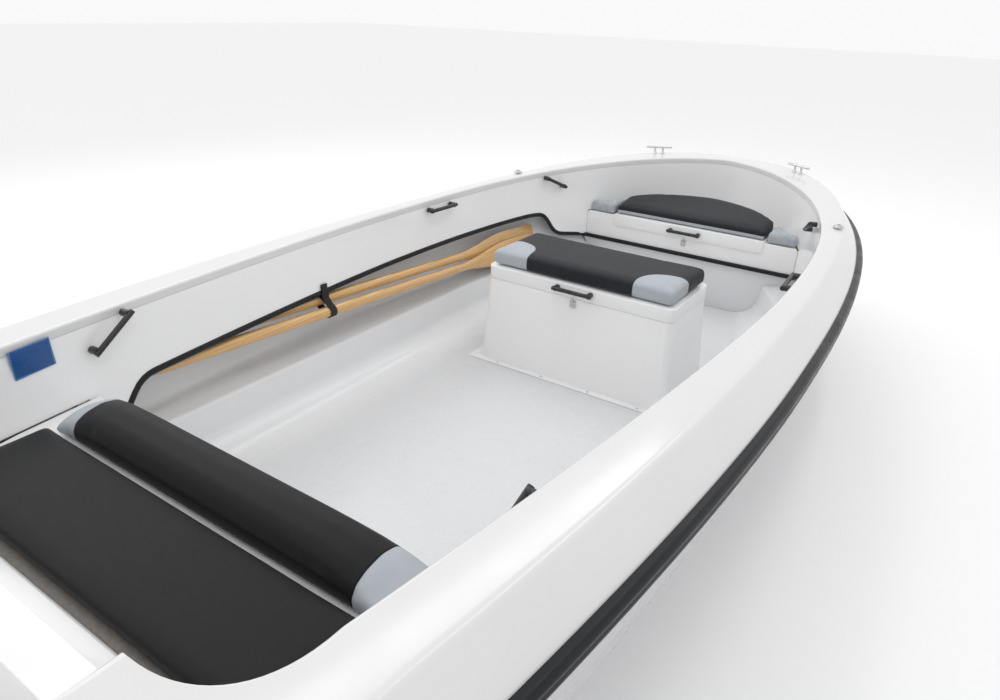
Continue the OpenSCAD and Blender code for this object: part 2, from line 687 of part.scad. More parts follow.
// A block whose rounded outline grows by the flare at its foot
module box_block(inset, z0, z1) {
    f = box_flare * (box_top_z - z0) / (box_top_z - floor_z);
    hull() {
        plate(box_x0 - f + inset, box_x1 + f - inset, box_half + 2 * f - inset, z0, z0 + 1,
            box_r - inset / 2);
        plate(box_x0 + inset, box_x1 - inset, box_half - inset, z1 - 1, z1, box_r - inset / 2);
    }
}

module storage_box() {
    foot = box_flare;
    color("ivory") {
        difference() {
            box_block(0, floor_z + 1, box_top_z);
            box_block(box_t, floor_z + 6, box_top_z + 1);
        }
        difference() {
            plate(box_x0 - foot - 30, box_x1 + foot + 30, box_half + 80, floor_z + 1, floor_z + 4, 12);
            plate(box_x0 - foot + 1, box_x1 + foot - 1, box_half + 2 * foot - 1, floor_z, floor_z + 5,
                box_r - 1);
        }
    }
}

lid_rise = 58;
module box_lid() {
    z0 = box_top_z + 1;
    color("ivory")
        difference() {
            plate(box_x0 - 1, box_x1 + 1, box_half + 1, z0, z0 + lid_rise, box_r);
            plate(box_x0 + 4, box_x1 - 4, box_half - 4, z0 - 1, z0 + lid_rise - 5, box_r - 5);
        }
}

box_cushion_z = box_top_z + 1 + lid_rise;
module box_cushion() {
    color("darkslategray")
        pad([box_x0 + 4, -box_half + 4, box_cushion_z], [box_x1 - 6, box_half - 4, box_cushion_z + 76], 22);
}

module box_handle() {
    color("black")
        translate([box_x0 - 1.2, 0, box_top_z + 38]) rotate([0, -90, 0]) rotate([0, 0,
            90]) grab_handle(188, 36);
}

module box_latch() {
    color("silver") latch(box_x0 - 1.6, box_top_z - 6);
}

// ---- hinges ---------------------------------------------------------------------------------

knuckle_r = 6;
pin_r = 3;
knuckle_len = 24;
// Axis of each lid's hinges, [x, z], and the places of its hinges along Y
BOX_AXIS = [box_x1 + 9, box_top_z + 0.5];
BOW_AXIS = [bow_hinge_x, bench_z + 7];
STERN_AXIS = [stern_lid_x0 - 8, bench_z + 7];
BOX_HINGES = [-300, 0, 300];
BOW_HINGES = [-90, 90];
STERN_HINGES = [-520, 520];

module at_hinges(axis, places) {
    for (y = places)
        translate([axis[0], y, axis[1]]) rotate([90, 0, 0]) children();
}

module middle_knuckle() {
    cylinder(r = knuckle_r, h = knuckle_len - 1, center = true, $fn = 48);
    cylinder(r = pin_r, h = 3 * knuckle_len, center = true, $fn = 48);
}

module outer_knuckles() {
    difference() {
        cylinder(r = knuckle_r, h = 3 * knuckle_len - 4, center = true, $fn = 48);
        cylinder(r = pin_r + 0.1, h = 4 * knuckle_len, center = true, $fn = 48);
        cube([3 * knuckle_r, 3 * knuckle_r, knuckle_len + 1], center = true);
    }
}

// A leaf: a plate with its outer third cut so that it clears the other leaf's knuckles
module leaf(lo, hi) {
    translate(lo) cube(hi - lo);
}

module hinges_fixed() {
    h = knuckle_len / 2 - 0.5;
    color("silver") {
        at_hinges(BOX_AXIS, BOX_HINGES) middle_knuckle();
        at_hinges(BOW_AXIS, BOW_HINGES) middle_knuckle();
        at_hinges(STERN_AXIS, STERN_HINGES) middle_knuckle();
        for (y = BOX_HINGES)
            leaf([box_x1 + 3.2, y - h, box_top_z - 40], [box_x1 + 5.5, y + h, box_top_z - 1]);
        for (y = BOW_HINGES)
            leaf([bow_hinge_x + 2, y - h, bench_z + 0.2], [bow_hinge_x + 30, y + h, bench_z + 2.6]);
        for (y = STERN_HINGES)
            leaf([STERN_AXIS[0] - 34, y - h, bench_z + 0.2], [STERN_AXIS[0] - 2, y + h, bench_z + 2.6]);
    }
}

module box_hinge_leaves() {
    color("silver") {
        at_hinges(BOX_AXIS, BOX_HINGES) outer_knuckles();
        for (y = BOX_HINGES, s = [-1, 1])
            leaf([box_x1 + 1.2, y + s * 24 - 9, box_top_z + 2], [box_x1 + 4.5, y + s * 24 + 9,
                box_top_z + 44]);
    }
}

module bow_hinge_leaves() {
    color("silver") {
        at_hinges(BOW_AXIS, BOW_HINGES) outer_knuckles();
        for (y = BOW_HINGES, s = [-1, 1])
            leaf(
                [bow_hinge_x - 37, y + s * 24 - 9, bench_z + 7.6],
                [bow_hinge_x - 3.4, y + s * 24 + 9, bench_z + 9.8]
            );
    }
}

module stern_hinge_leaves() {
    color("silver") {
        at_hinges(STERN_AXIS, STERN_HINGES) outer_knuckles();
        for (y = STERN_HINGES, s = [-1, 1])
            leaf([STERN_AXIS[0] + 3.4, y + s * 24 - 9, bench_z + 3], [stern_lid_x0 - 0.1,
                y + s * 24 + 9, bench_z + 10]);
    }
}

// ---- fittings -------------------------------------------------------------------------------

// Puts a piece on the port side panel at x and z: X runs along the panel, Z points inboard
module on_panel(x, z, slant) {
    e = 5;
    heading = atan2(panel_y(x + e, z) - panel_y(x - e, z), 2 * e);
    translate([x, panel_y(x, z) + 1.6, z])
        rotate([0, 0, heading])
            rotate([90, 0, 0])
                rotate([0, 0, slant])
                    children();
}

// Handle places: x, z, slant, length, and how much lower the starboard one sits
HANDLES = [[-1240, 722, 33, 172, 24], [505, 742, 0, 188, 0], [1385, 738, -24, 168, 0]];

module grab_handles_port() {
    color("black")
        for (h = HANDLES) on_panel(h[0], h[1], h[2]) translate([0, 0, 6]) grab_handle(h[3], 42);
}

module grab_handles_starboard() {
    color("black") mirror([0, 1, 0])
        for (h = HANDLES) on_panel(h[0], h[1] - h[4], h[2]) translate([0, 0, 6]) grab_handle(h[3], 42);
}

module builder_plate() {
    color("royalblue")
        on_panel(-1469, 725, 2) translate([-59, -43, 4]) cube([118, 86, 1.6]);
}

// A two-legged mooring cleat that lies along X
module cleat() {
    for (x = [-24, 24]) {
        translate([x, 0, 0]) cylinder(r1 = 13, r2 = 8, h = 6, $fn = 32);
        translate([x, 0, 0]) cylinder(r = 6.5, h = 34, $fn = 32);
    }
    translate([-74, 0, 36]) rotate([0, 90, 0]) cylinder(r = 7, h = 148, $fn = 32);
    for (x = [-74, 74]) translate([x, 0, 36]) sphere(r = 7, $fn = 32);
}

BOW_CLEAT = [2185, 425];
STERN_CLEAT = [-2180, 620];

module bow_cleats() {
    z = gunwale_top(BOW_CLEAT[0]) + 0.5;
    color("silver")
        for (side = [-1, 1])
            translate([BOW_CLEAT[0], side * BOW_CLEAT[1], z]) rotate([0, 0, side * -58]) cleat();
}

module stern_cleats() {
    color("silver")
        for (side = [-1, 1])
            translate([STERN_CLEAT[0], side * STERN_CLEAT[1], gunwale_z + 0.5]) rotate([0, 0,
                side * 4]) cleat();
}

// Sockets that take a rowlock's shank, with a tube that runs down through the gunwale
rowlock_r = 6.6;
socket_r = 11;
socket_drop = 62;
module rowlock_sockets() {
    z = gunwale_top(ROWLOCK[0]);
    color("silver")
        for (side = [-1, 1])
            translate([ROWLOCK[0], side * ROWLOCK[1], z])
                difference() {
                    union() {
                        translate([0, 0, 0.6]) cylinder(r = 24, h = 5, $fn = 64);
                        translate([0, 0, 5]) cylinder(r = 13, h = 8, $fn = 64);
                        translate([0, 0, -socket_drop]) cylinder(r = socket_r, h = socket_drop + 3, $fn = 64);
                    }
                    translate([0, 0, -socket_drop - 10]) cylinder(r = rowlock_r, h = socket_drop + 60,
                        $fn = 64);
                }
}

// An oar along +X from its grip: round loom, then a flat blade that stands on its edge
blade_len = 700;
LOOM = [[0, 15], [4, 17], [128, 17], [134, 21], [200, 23.5], [oar_len - blade_len - 300, 22.5]];
function oar_ring(x, t, w) = [for (a = [0:11]) [x, -t * cos(30 * a), w * sin(30 * a)]];
function blade_ring(s) = oar_ring(
    oar_len - blade_len + blade_len * s,
    20 - 14 * pow(min(1, s * 3), 0.8),
    21 + 46 * pow(sin(90 * min(1, s * 1.6)), 2) - 10 * pow(max(0, s - 0.93) / 0.07, 2)
);

module oar() {
    color("burlywood")
        loft(concat(
            [for (l = LOOM) oar_ring(l[0], l[1], l[1])],
            [for (i = [0:14]) blade_ring(i / 14)]
        ));
}

// Both oars lie along the port side, below the edge of the side panel: y and z at x0 and x1
oar_x = -1225;
OAR_SPAN = [-1250, 1300];
LOWER_OAR = [[815, 515], [765, 385]];
UPPER_OAR = [[885, 547], [793, 430]];
function oar_at(line, x) = line[0] + (line[1] - line[0]) * (x - OAR_SPAN[0]) / (OAR_SPAN[1] - OAR_SPAN[0]);
module stowed(line, start) {
    span = OAR_SPAN[1] - OAR_SPAN[0];
    p = oar_at(line, start);
    translate([start, p[0], p[1]])
        rotate([0, 0, atan2(line[1][0] - line[0][0], span)])
            rotate([0, atan2(line[0][1] - line[1][1], span), 0])
                rotate([-14, 0, 0])
                    children();
}

module oar_lower() {
    stowed(LOWER_OAR, oar_x) oar();
}

module oar_upper() {
    stowed(UPPER_OAR, oar_x + 15) oar();
}

// Strap round both looms, with a tail that is bolted to the inside of the panel
strap_x = -317;
strap_w = 34;
strap_t = 2;
strap_r = 24.3;           // inside of the strap round a loom
STRAP_TAIL = [
    [796, 497], [815, 520], [816.5, 548], [821.5, 560], [822.5, 580],
    [825.5, 580], [824.5, 559], [819.5, 547], [818, 519], [799, 494.5]
];
module loom_outline(r, a, b) {
    for (c = [a, b]) translate(c) circle(r = r, $fn = 48);
    translate(a) rotate(atan2(b[1] - a[1], b[0] - a[0])) translate([0, -r]) square([norm(b - a), 2 * r]);
}

module oar_strap() {
    low = oar_at(LOWER_OAR, strap_x + strap_w / 2);
    high = oar_at(UPPER_OAR, strap_x + strap_w / 2);
    color("black")
        translate([strap_x, 0, 0]) rotate([90, 0, 90]) linear_extrude(height = strap_w) {
            difference() {
                loom_outline(strap_r + strap_t, low, high);
                loom_outline(strap_r, low, high);
            }
            difference() {
                polygon(STRAP_TAIL);
                loom_outline(strap_r + 1, low, high);
            }
        }
}

// A forged eye on the stem, with its plate
bow_eye_z = 420;
module bow_eye() {
    x = 2398;
    color("silver")
        translate([x, 0, bow_eye_z]) {
            difference() {
                rotate([90, 0, 0]) cylinder(r = 22, h = 10, center = true, $fn = 64);
                rotate([90, 0, 0]) cylinder(r = 11, h = 20, center = true, $fn = 64);
            }
            difference() {
                translate([-32, -5, -9]) cube([14, 10, 18]);
                translate([-x, 0, -bow_eye_z]) rotate([90, 0, 0])
                    linear_extrude(height = 40, center = true)
                        polygon(concat(
                            [for (p = STEM_LINE) [p[0] - 60, p[1]]],
                            [for (i = [len(STEM_LINE) - 1:-1:0]) [STEM_LINE[i][0] + 5.4, STEM_LINE[i][1] - 4]]
                        ));
            }
        }
}

// Tie-down eyes on the transom
module stern_eyes() {
    color("silver")
        translate([stern_x, 0, gunwale_z])
            rotate([0, -transom_rake, 0])
                for (side = [-1, 1])
                    translate([0, side * 380, up_plate(150)]) {
                        rotate([0, 90, 0]) translate([0, 0, -6]) cylinder(r = 16, h = 5.5, $fn = 48);
                        rotate([0, 90, 0]) translate([0, 0, -0.5]) cylinder(r = 4.9, h = 50, $fn = 32);
                        difference() {
                            translate([-24, -4, -14]) cube([18, 8, 28]);
                            translate([-14, 0, 0]) rotate([90, 0, 0]) cylinder(r = 7, h = 20,
                                center = true, $fn = 48);
                        }
                    }
}

module drain_plug() {
    color("silver")
        translate([stern_x, 0, gunwale_z])
            rotate([0, -transom_rake, 0])
                translate([0, 0, up_plate(75)]) rotate([0, 90, 0]) {
                    translate([0, 0, -5]) cylinder(r = 22, h = 4.5, $fn = 48);
                    translate([0, 0, -11]) cylinder(r = 10, h = 7, $fn = 48);
                    translate([0, 0, -0.5]) cylinder(r = 12.3, h = 46, $fn = 48);
                }
}

hull_shell();
keel_bands();
stem_band();
transom();
motor_pads();
motor_well();
gunwale_deck();
side_panel_port();
side_panel_starboard();
cockpit_tub();
bow_riser();
bow_bench();
bow_locker_lid();
bow_cushion();
bow_end_pads();
bow_lid_handle();
bow_latch();
stern_bench();
stern_locker_lid();
stern_cushion();
stern_bolster();
storage_box();
box_lid();
box_cushion();
box_handle();
box_latch();
hinges_fixed();
box_hinge_leaves();
bow_hinge_leaves();
stern_hinge_leaves();
rub_rail();
edge_trim();
grab_handles_port();
grab_handles_starboard();
bow_cleats();
stern_cleats();
rowlock_sockets();
oar_upper();
oar_lower();
oar_strap();
builder_plate();
bow_eye();
stern_eyes();
drain_plug();
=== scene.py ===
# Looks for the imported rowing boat: mouldings, stuffed cushions, fittings, floor, light and camera.
import math
import bmesh
import bpy
import numpy as np
from mathutils import Matrix, Vector


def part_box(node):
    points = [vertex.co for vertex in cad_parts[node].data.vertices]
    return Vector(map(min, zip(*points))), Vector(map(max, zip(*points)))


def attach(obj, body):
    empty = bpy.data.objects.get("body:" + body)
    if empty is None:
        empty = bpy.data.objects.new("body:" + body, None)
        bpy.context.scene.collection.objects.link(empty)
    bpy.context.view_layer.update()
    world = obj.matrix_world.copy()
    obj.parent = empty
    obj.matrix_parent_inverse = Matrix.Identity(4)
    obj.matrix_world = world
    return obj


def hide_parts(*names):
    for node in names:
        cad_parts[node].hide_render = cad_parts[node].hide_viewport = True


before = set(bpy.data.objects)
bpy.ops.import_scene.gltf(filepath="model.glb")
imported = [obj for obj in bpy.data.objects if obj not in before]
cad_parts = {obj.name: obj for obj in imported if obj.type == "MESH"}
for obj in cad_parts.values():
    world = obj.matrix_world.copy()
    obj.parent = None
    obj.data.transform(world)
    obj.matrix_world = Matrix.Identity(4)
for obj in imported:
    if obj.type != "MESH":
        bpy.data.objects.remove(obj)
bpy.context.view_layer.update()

# ---- driving dimensions -----------------------------------------------------------------------

# Boxes that the finished shapes are fitted to, read from the frame
bench_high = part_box("stern_bench")[1]
tub_low, tub_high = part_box("cockpit_tub")
bow_cushion_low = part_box("bow_cushion")[0]
box_cushion_low, box_cushion_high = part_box("box_cushion")

# Values that part.scad gives, with lengths in metres
STERN_X, STEM_X = -2.475, 2.475
HALF_BEAM = 1.030
GUNWALE_Z = 0.785
SHEER_RISE = 0.055
SHEER_X = 0.2  # where the sheer starts to rise
SHEER_POWER = 1.6
RAKE = math.tan(math.radians(10))
FLOOR_Z = 0.105
BENCH_Z = bench_high.z
PANEL_LEAN = 0.08
LEAN_X = 0.8  # where the lean starts to fade, and the length it fades over
LEAN_FADE = 0.8
BEAM_X = STERN_X + 0.47 * (STEM_X - STERN_X)
FLANGE_LOSS = 0.2235  # share of its half width that the flange loses at the stern
FLANGE_POWER, FLANGE_ROOT = 2.6, 0.4225
AFT_POWER = 1.82
INNER_HALF = HALF_BEAM - 0.165
INNER_X = STERN_X + 2.630
INNER_REACH = STEM_X - 0.220 - INNER_X
INNER_AFT_REACH = 1.840
INNER_LOSS = 0.19
DECK_X = STERN_X + 0.565
CORNER_X = STERN_X + 0.790
WELL_HALF = 0.475
FLANGE_DROP = 0.165
MOULDING_TOP = 0.030  # depth of the gunwale's inner edge, which the side panels hang from
STERN_FRONT_X = STERN_X + 1.160
BOW_FRONT_X = STEM_X - 0.820
TUB_X0, TUB_X1 = tub_low.x, tub_high.x


def gunwale_top(x):
    return GUNWALE_Z + SHEER_RISE * max(0, (x - SHEER_X) / (STEM_X - SHEER_X)) ** SHEER_POWER


def flange_y(x):
    """Half width of the gunwale's outer flange."""
    if x > BEAM_X:
        share = (x - BEAM_X) / (STEM_X - BEAM_X)
        return HALF_BEAM * max(0, 1 - share**FLANGE_POWER) ** FLANGE_ROOT
    return HALF_BEAM * (1 - FLANGE_LOSS * ((BEAM_X - x) / (BEAM_X - STERN_X)) ** AFT_POWER)


def inner_y(x):
    """Half width of the cockpit opening."""
    if x > INNER_X:
        return INNER_HALF * max(0, 1 - ((x - INNER_X) / INNER_REACH) ** 2.6) ** 0.62
    return INNER_HALF * (1 - INNER_LOSS * ((INNER_X - x) / INNER_AFT_REACH) ** 1.5)


def lean(x):
    """How far the side panels lean inboard for each unit of drop. It fades out towards the bow."""
    return PANEL_LEAN * (1 - min(1, max(0, (x - LEAN_X) / LEAN_FADE)))


def panel_y(x, z):
    return inner_y(x) - lean(x) * (gunwale_top(x) - z)


# ---- mesh helpers -----------------------------------------------------------------------------

CAD_MERGE = 5e-5  # how near two corners of a CAD mesh are when they are merged


def add_object(name, mesh, body, material, replaced=()):
    """Links a mesh to the scene as a finished piece that rides on a body."""
    obj = bpy.data.objects.new(name, mesh)
    bpy.context.scene.collection.objects.link(obj)
    if material is not None:
        mesh.materials.clear()
        mesh.materials.append(material)
    if body is not None:
        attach(obj, body)
    if replaced:
        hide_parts(*replaced)
    return obj


def shade(mesh, angle=35):
    """Smooth shading, with sharp edges where faces meet at more than the angle, in degrees."""
    mesh.polygons.foreach_set("use_smooth", [True] * len(mesh.polygons))
    mesh.set_sharp_from_angle(angle=math.radians(angle))


def round_line(points, radii, steps=4):
    """The points with each inner corner replaced by a short curve that starts radius away from it."""
    last = len(points) - 1
    line = []
    for i, radius in enumerate(radii):
        here = Vector(points[i])
        if i in (0, last) or radius <= 0:
            line.append(here)
            continue
        before = Vector(points[i - 1]) - here
        after = Vector(points[i + 1]) - here
        start = here + before * min(0.45, radius / max(before.length, 1e-9))
        end = here + after * min(0.45, radius / max(after.length, 1e-9))
        for s in range(steps + 1):
            t = s / steps
            line.append(start * (1 - t) ** 2 + here * 2 * t * (1 - t) + end * t**2)
    return line


def loft_mesh(name, rings):
    """A skin through closed rings of equal length, capped at both ends."""
    cols = len(rings[0])
    verts = [tuple(p) for ring in rings for p in ring]
    faces = []
    for r in range(len(rings) - 1):
        for c in range(cols):
            d = (c + 1) % cols
            faces.append((r * cols + c, r * cols + d, (r + 1) * cols + d, (r + 1) * cols + c))
    faces.append(tuple(range(cols - 1, -1, -1)))
    start = (len(rings) - 1) * cols
    faces.append(tuple(range(start, start + cols)))
    mesh = bpy.data.meshes.new(name)
    mesh.from_pydata(verts, [], faces)
    work = bmesh.new()
    work.from_mesh(mesh)
    bmesh.ops.remove_doubles(work, verts=work.verts, dist=1e-5)
    bmesh.ops.recalc_face_normals(work, faces=work.faces)
    work.to_mesh(mesh)
    work.free()
    return mesh


def softened(node, width, material, body, segments=2, angle=30):
    """A copy of a CAD node, merged and with its edges rounded, that stands for the node."""
    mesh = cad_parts[node].data.copy()
    mesh.name = node + "_finished"
    work = bmesh.new()
    work.from_mesh(mesh)
    bmesh.ops.remove_doubles(work, verts=work.verts, dist=CAD_MERGE)
    bmesh.ops.dissolve_limit(
        work, angle_limit=math.radians(1.0), verts=work.verts, edges=work.edges
    )
    if width > 0:
        sharp = [e for e in work.edges if e.is_manifold and e.calc_face_angle(0) > math.radians(angle)]
        bmesh.ops.bevel(
            work, geom=sharp, offset=width, offset_type="WIDTH", segments=segments,
            profile=0.5, affect="EDGES", clamp_overlap=True, loop_slide=True,
        )
    work.to_mesh(mesh)
    work.free()
    shade(mesh, 40)
    return add_object(mesh.name, mesh, body, material, [node])


def tube_mesh(name, path, radius, sides, flat):
    """A bar along a path of points; flat below 1 squeezes its section sideways."""
    points = [Vector(p) for p in path]
    last = len(points) - 1
    rings = []
    for i, p in enumerate(points):
        tangent = (points[min(last, i + 1)] - points[max(0, i - 1)]).normalized()
        side = tangent.cross(Vector((0, 0, 1)))
        side = side.normalized() if side.length > 1e-4 else Vector((0, 1, 0))
        up = side.cross(tangent)
        turn = [2 * math.pi * k / sides for k in range(sides)]
        rings.append(
            [p + side * flat * radius * math.cos(a) + up * radius * math.sin(a) for a in turn]
        )
    return loft_mesh(name, rings)


# ---- materials --------------------------------------------------------------------------------


class Nodes:
    """A short way to write a material's node tree."""

    def __init__(self, name):
        self.material = bpy.data.materials.new(name)
        self.material.use_nodes = True
        self.tree = self.material.node_tree
        self.shader = self.tree.nodes["Principled BSDF"]

    def add(self, kind, **settings):
        node = self.tree.nodes.new("ShaderNode" + kind)
        for key, value in settings.items():
            setattr(node, key, value)
        return node

    def link(self, output, node, socket):
        self.tree.links.new(output, node.inputs[socket])

    def coords(self, scale=(1, 1, 1)):
        """Object coordinates, stretched by a scale."""
        place = self.add("TexCoord")
        mapping = self.add("Mapping")
        mapping.inputs["Scale"].default_value = scale
        self.link(place.outputs["Object"], mapping, "Vector")
        return mapping.outputs["Vector"]

    def noise(self, scale, detail=3, stretch=(1, 1, 1), roughness=0.5):
        node = self.add("TexNoise")
        node.inputs["Scale"].default_value = scale
        node.inputs["Detail"].default_value = detail
        node.inputs["Roughness"].default_value = roughness
        self.link(self.coords(stretch), node, "Vector")
        return node.outputs["Fac"]

    def ramp(self, value, low, high, start=0.0, end=1.0):
        """The value's range low to high, spread over start to end."""
        node = self.add("MapRange")
        node.inputs["From Min"].default_value = low
        node.inputs["From Max"].default_value = high
        node.inputs["To Min"].default_value = start
        node.inputs["To Max"].default_value = end
        self.link(value, node, "Value")
        return node.outputs["Result"]

    def math(self, operation, a, b=None):
        node = self.add("Math", operation=operation)
        for i, value in enumerate((a, b)):
            if isinstance(value, (int, float)):
                node.inputs[i].default_value = value
            elif value is not None:
                self.tree.links.new(value, node.inputs[i])
        return node.outputs["Value"]

    def axes(self):
        """Object coordinates as separate X, Y and Z values, in metres."""
        split = self.add("SeparateXYZ")
        self.link(self.coords(), split, "Vector")
        return split.outputs["X"], split.outputs["Y"], split.outputs["Z"]

    def mix(self, factor, first, second):
        node = self.add("Mix", data_type="RGBA")
        self.tree.links.new(factor, node.inputs["Factor"])
        for socket, colour in ((node.inputs[6], first), (node.inputs[7], second)):
            if isinstance(colour, tuple):
                socket.default_value = (*colour, 1)
            else:
                self.tree.links.new(colour, socket)
        return node.outputs[2]

    def colour(self, value):
        if isinstance(value, tuple):
            self.shader.inputs["Base Color"].default_value = (*value, 1)
        else:
            self.link(value, self.shader, "Base Color")

    def rough(self, value):
        if isinstance(value, (int, float)):
            self.shader.inputs["Roughness"].default_value = value
        else:
            self.link(value, self.shader, "Roughness")

    def bump(self, height, distance, strength=1.0):
        """Adds a bump on top of any that is already there."""
        node = self.add("Bump")
        node.inputs["Distance"].default_value = distance
        node.inputs["Strength"].default_value = strength
        self.link(height, node, "Height")
        socket = self.shader.inputs["Normal"]
        if socket.links:
            self.link(socket.links[0].from_socket, node, "Normal")
        self.tree.links.new(node.outputs["Normal"], socket)


def gelcoat(name, colour, darker, roughness=0.16):
    """Glossy moulded gelcoat with faint clouding and polishing haze."""
    n = Nodes(name)
    n.colour(n.mix(n.ramp(n.noise(2.2, 4), 0.3, 0.7), colour, darker))
    n.rough(n.ramp(n.noise(9, 5), 0.25, 0.75, roughness * 0.75, roughness * 1.45))
    n.bump(n.noise(3.0, 2), 0.0012, 0.35)
    n.shader.inputs["Coat Weight"].default_value = 0.35
    n.shader.inputs["Coat Roughness"].default_value = 0.08
    n.shader.inputs["IOR"].default_value = 1.5
    return n.material


def floor_gelcoat():
    """The cockpit liner: glossy sides, and a speckled non-slip floor."""
    n = Nodes("liner_gelcoat")
    _, _, z = n.axes()
    on_floor = n.ramp(z, FLOOR_Z + 0.001, FLOOR_Z + 0.012, 1.0, 0.0)
    speckle = n.add("TexVoronoi", feature="F1")
    speckle.inputs["Scale"].default_value = 420
    n.link(n.coords(), speckle, "Vector")
    grain = n.ramp(speckle.outputs["Distance"], 0.15, 0.6, 1.0, 0.0)
    cloud = n.noise(26, 4, roughness=0.7)
    grit = n.math("MULTIPLY", grain, n.ramp(cloud, 0.3, 0.7, 0.35, 1.0))
    plain = n.mix(n.ramp(n.noise(2.0, 3), 0.3, 0.7), (0.78, 0.79, 0.80), (0.75, 0.76, 0.775))
    gritty = n.mix(grit, (0.68, 0.69, 0.705), (0.88, 0.885, 0.89))
    n.colour(n.mix(on_floor, plain, gritty))
    n.rough(n.ramp(on_floor, 0, 1, 0.22, 0.42))
    n.bump(n.math("MULTIPLY", grit, on_floor), 0.0012, 0.55)
    n.bump(n.noise(4.0, 2), 0.001, 0.25)
    n.shader.inputs["Coat Weight"].default_value = 0.25
    n.shader.inputs["Coat Roughness"].default_value = 0.15
    return n.material


def vinyl(name, colour, light=None, light_mask=None, seams=()):
    """Marine vinyl with a fine weave, in one colour or two, with sunk seams between them."""
    n = Nodes(name)
    base = n.mix(n.ramp(n.noise(35, 4), 0.3, 0.7), colour, tuple(c * 0.8 for c in colour))
    if light is not None:
        shaded = tuple(c * 0.94 for c in light)
        soft_light = n.mix(n.ramp(n.noise(20, 3), 0.3, 0.7), light, shaded)
        base = n.mix(light_mask(n), base, soft_light)
    n.colour(base)
    weave = n.add("TexWave", wave_type="BANDS", bands_direction="X")
    weave.inputs["Scale"].default_value = 300
    weave.inputs["Distortion"].default_value = 0.3
    n.link(n.coords(), weave, "Vector")
    cross = n.add("TexWave", wave_type="BANDS", bands_direction="Y")
    cross.inputs["Scale"].default_value = 300
    cross.inputs["Distortion"].default_value = 0.3
    n.link(n.coords(), cross, "Vector")
    cloth = n.math("MULTIPLY", weave.outputs["Fac"], cross.outputs["Fac"])
    n.rough(n.ramp(cloth, 0, 1, 0.52, 0.38))
    n.bump(cloth, 0.0004, 0.4)
    n.bump(n.noise(60, 4, roughness=0.6), 0.0007, 0.35)
    for seam in seams:
        n.bump(seam(n), 0.003, 0.9)
    n.shader.inputs["Sheen Weight"].default_value = 0.02
    n.shader.inputs["Specular IOR Level"].default_value = 0.2
    return n.material


def black_rubber():
    n = Nodes("black_rubber")
    scuff = n.ramp(n.noise(55, 6, stretch=(0.35, 1, 1), roughness=0.75), 0.62, 0.74)
    n.colour(n.mix(scuff, (0.010, 0.011, 0.013), (0.035, 0.036, 0.038)))
    n.rough(n.ramp(n.noise(14, 4), 0.3, 0.7, 0.24, 0.4))
    n.bump(n.noise(120, 3), 0.0004, 0.3)
    n.shader.inputs["Specular IOR Level"].default_value = 0.25
    return n.material


def black_plastic():
    n = Nodes("black_plastic")
    n.colour(n.mix(n.ramp(n.noise(40, 3), 0.4, 0.7), (0.012, 0.012, 0.013), (0.02, 0.02, 0.021)))
    n.rough(n.ramp(n.noise(30, 4), 0.3, 0.7, 0.22, 0.36))
    n.bump(n.noise(700, 2), 0.0002, 0.3)
    return n.material


def stainless():
    n = Nodes("stainless")
    n.shader.inputs["Metallic"].default_value = 1
    n.colour(n.mix(n.ramp(n.noise(60, 3), 0.3, 0.7), (0.66, 0.66, 0.66), (0.55, 0.55, 0.56)))
    n.rough(n.ramp(n.noise(160, 4, stretch=(0.1, 1, 1)), 0.3, 0.7, 0.14, 0.3))
    return n.material


def webbing():
    n = Nodes("webbing")
    n.colour((0.013, 0.013, 0.014))
    weave = n.add("TexWave", wave_type="BANDS", bands_direction="DIAGONAL")
    weave.inputs["Scale"].default_value = 420
    n.link(n.coords(), weave, "Vector")
    n.rough(n.ramp(weave.outputs["Fac"], 0, 1, 0.85, 0.65))
    n.bump(weave.outputs["Fac"], 0.0006, 0.8)
    return n.material


def varnished_wood():
    """Clear-varnished softwood whose grain runs along the boat."""
    n = Nodes("varnished_wood")
    rings = n.add("TexWave", wave_type="BANDS", bands_direction="Z")
    rings.inputs["Scale"].default_value = 28
    rings.inputs["Distortion"].default_value = 7
    rings.inputs["Detail"].default_value = 3
    rings.inputs["Detail Scale"].default_value = 1.4
    n.link(n.coords((0.05, 1, 1)), rings, "Vector")
    fibre = n.noise(240, 4, stretch=(0.03, 1, 1), roughness=0.7)
    base = n.mix(n.ramp(rings.outputs["Fac"], 0.1, 0.9), (0.74, 0.47, 0.20), (0.62, 0.36, 0.13))
    n.colour(n.mix(n.ramp(fibre, 0.35, 0.75, 0.0, 0.45), base, (0.50, 0.27, 0.09)))
    n.rough(n.ramp(fibre, 0.3, 0.7, 0.2, 0.34))
    n.bump(fibre, 0.0005, 0.2)
    n.shader.inputs["Coat Weight"].default_value = 0.6
    n.shader.inputs["Coat Roughness"].default_value = 0.08
    return n.material


def board_grey():
    n = Nodes("grey_board")
    n.colour(n.mix(n.ramp(n.noise(90, 5), 0.3, 0.7), (0.20, 0.185, 0.17), (0.15, 0.14, 0.13)))
    n.rough(0.6)
    n.bump(n.noise(300, 3), 0.0005, 0.4)
    return n.material


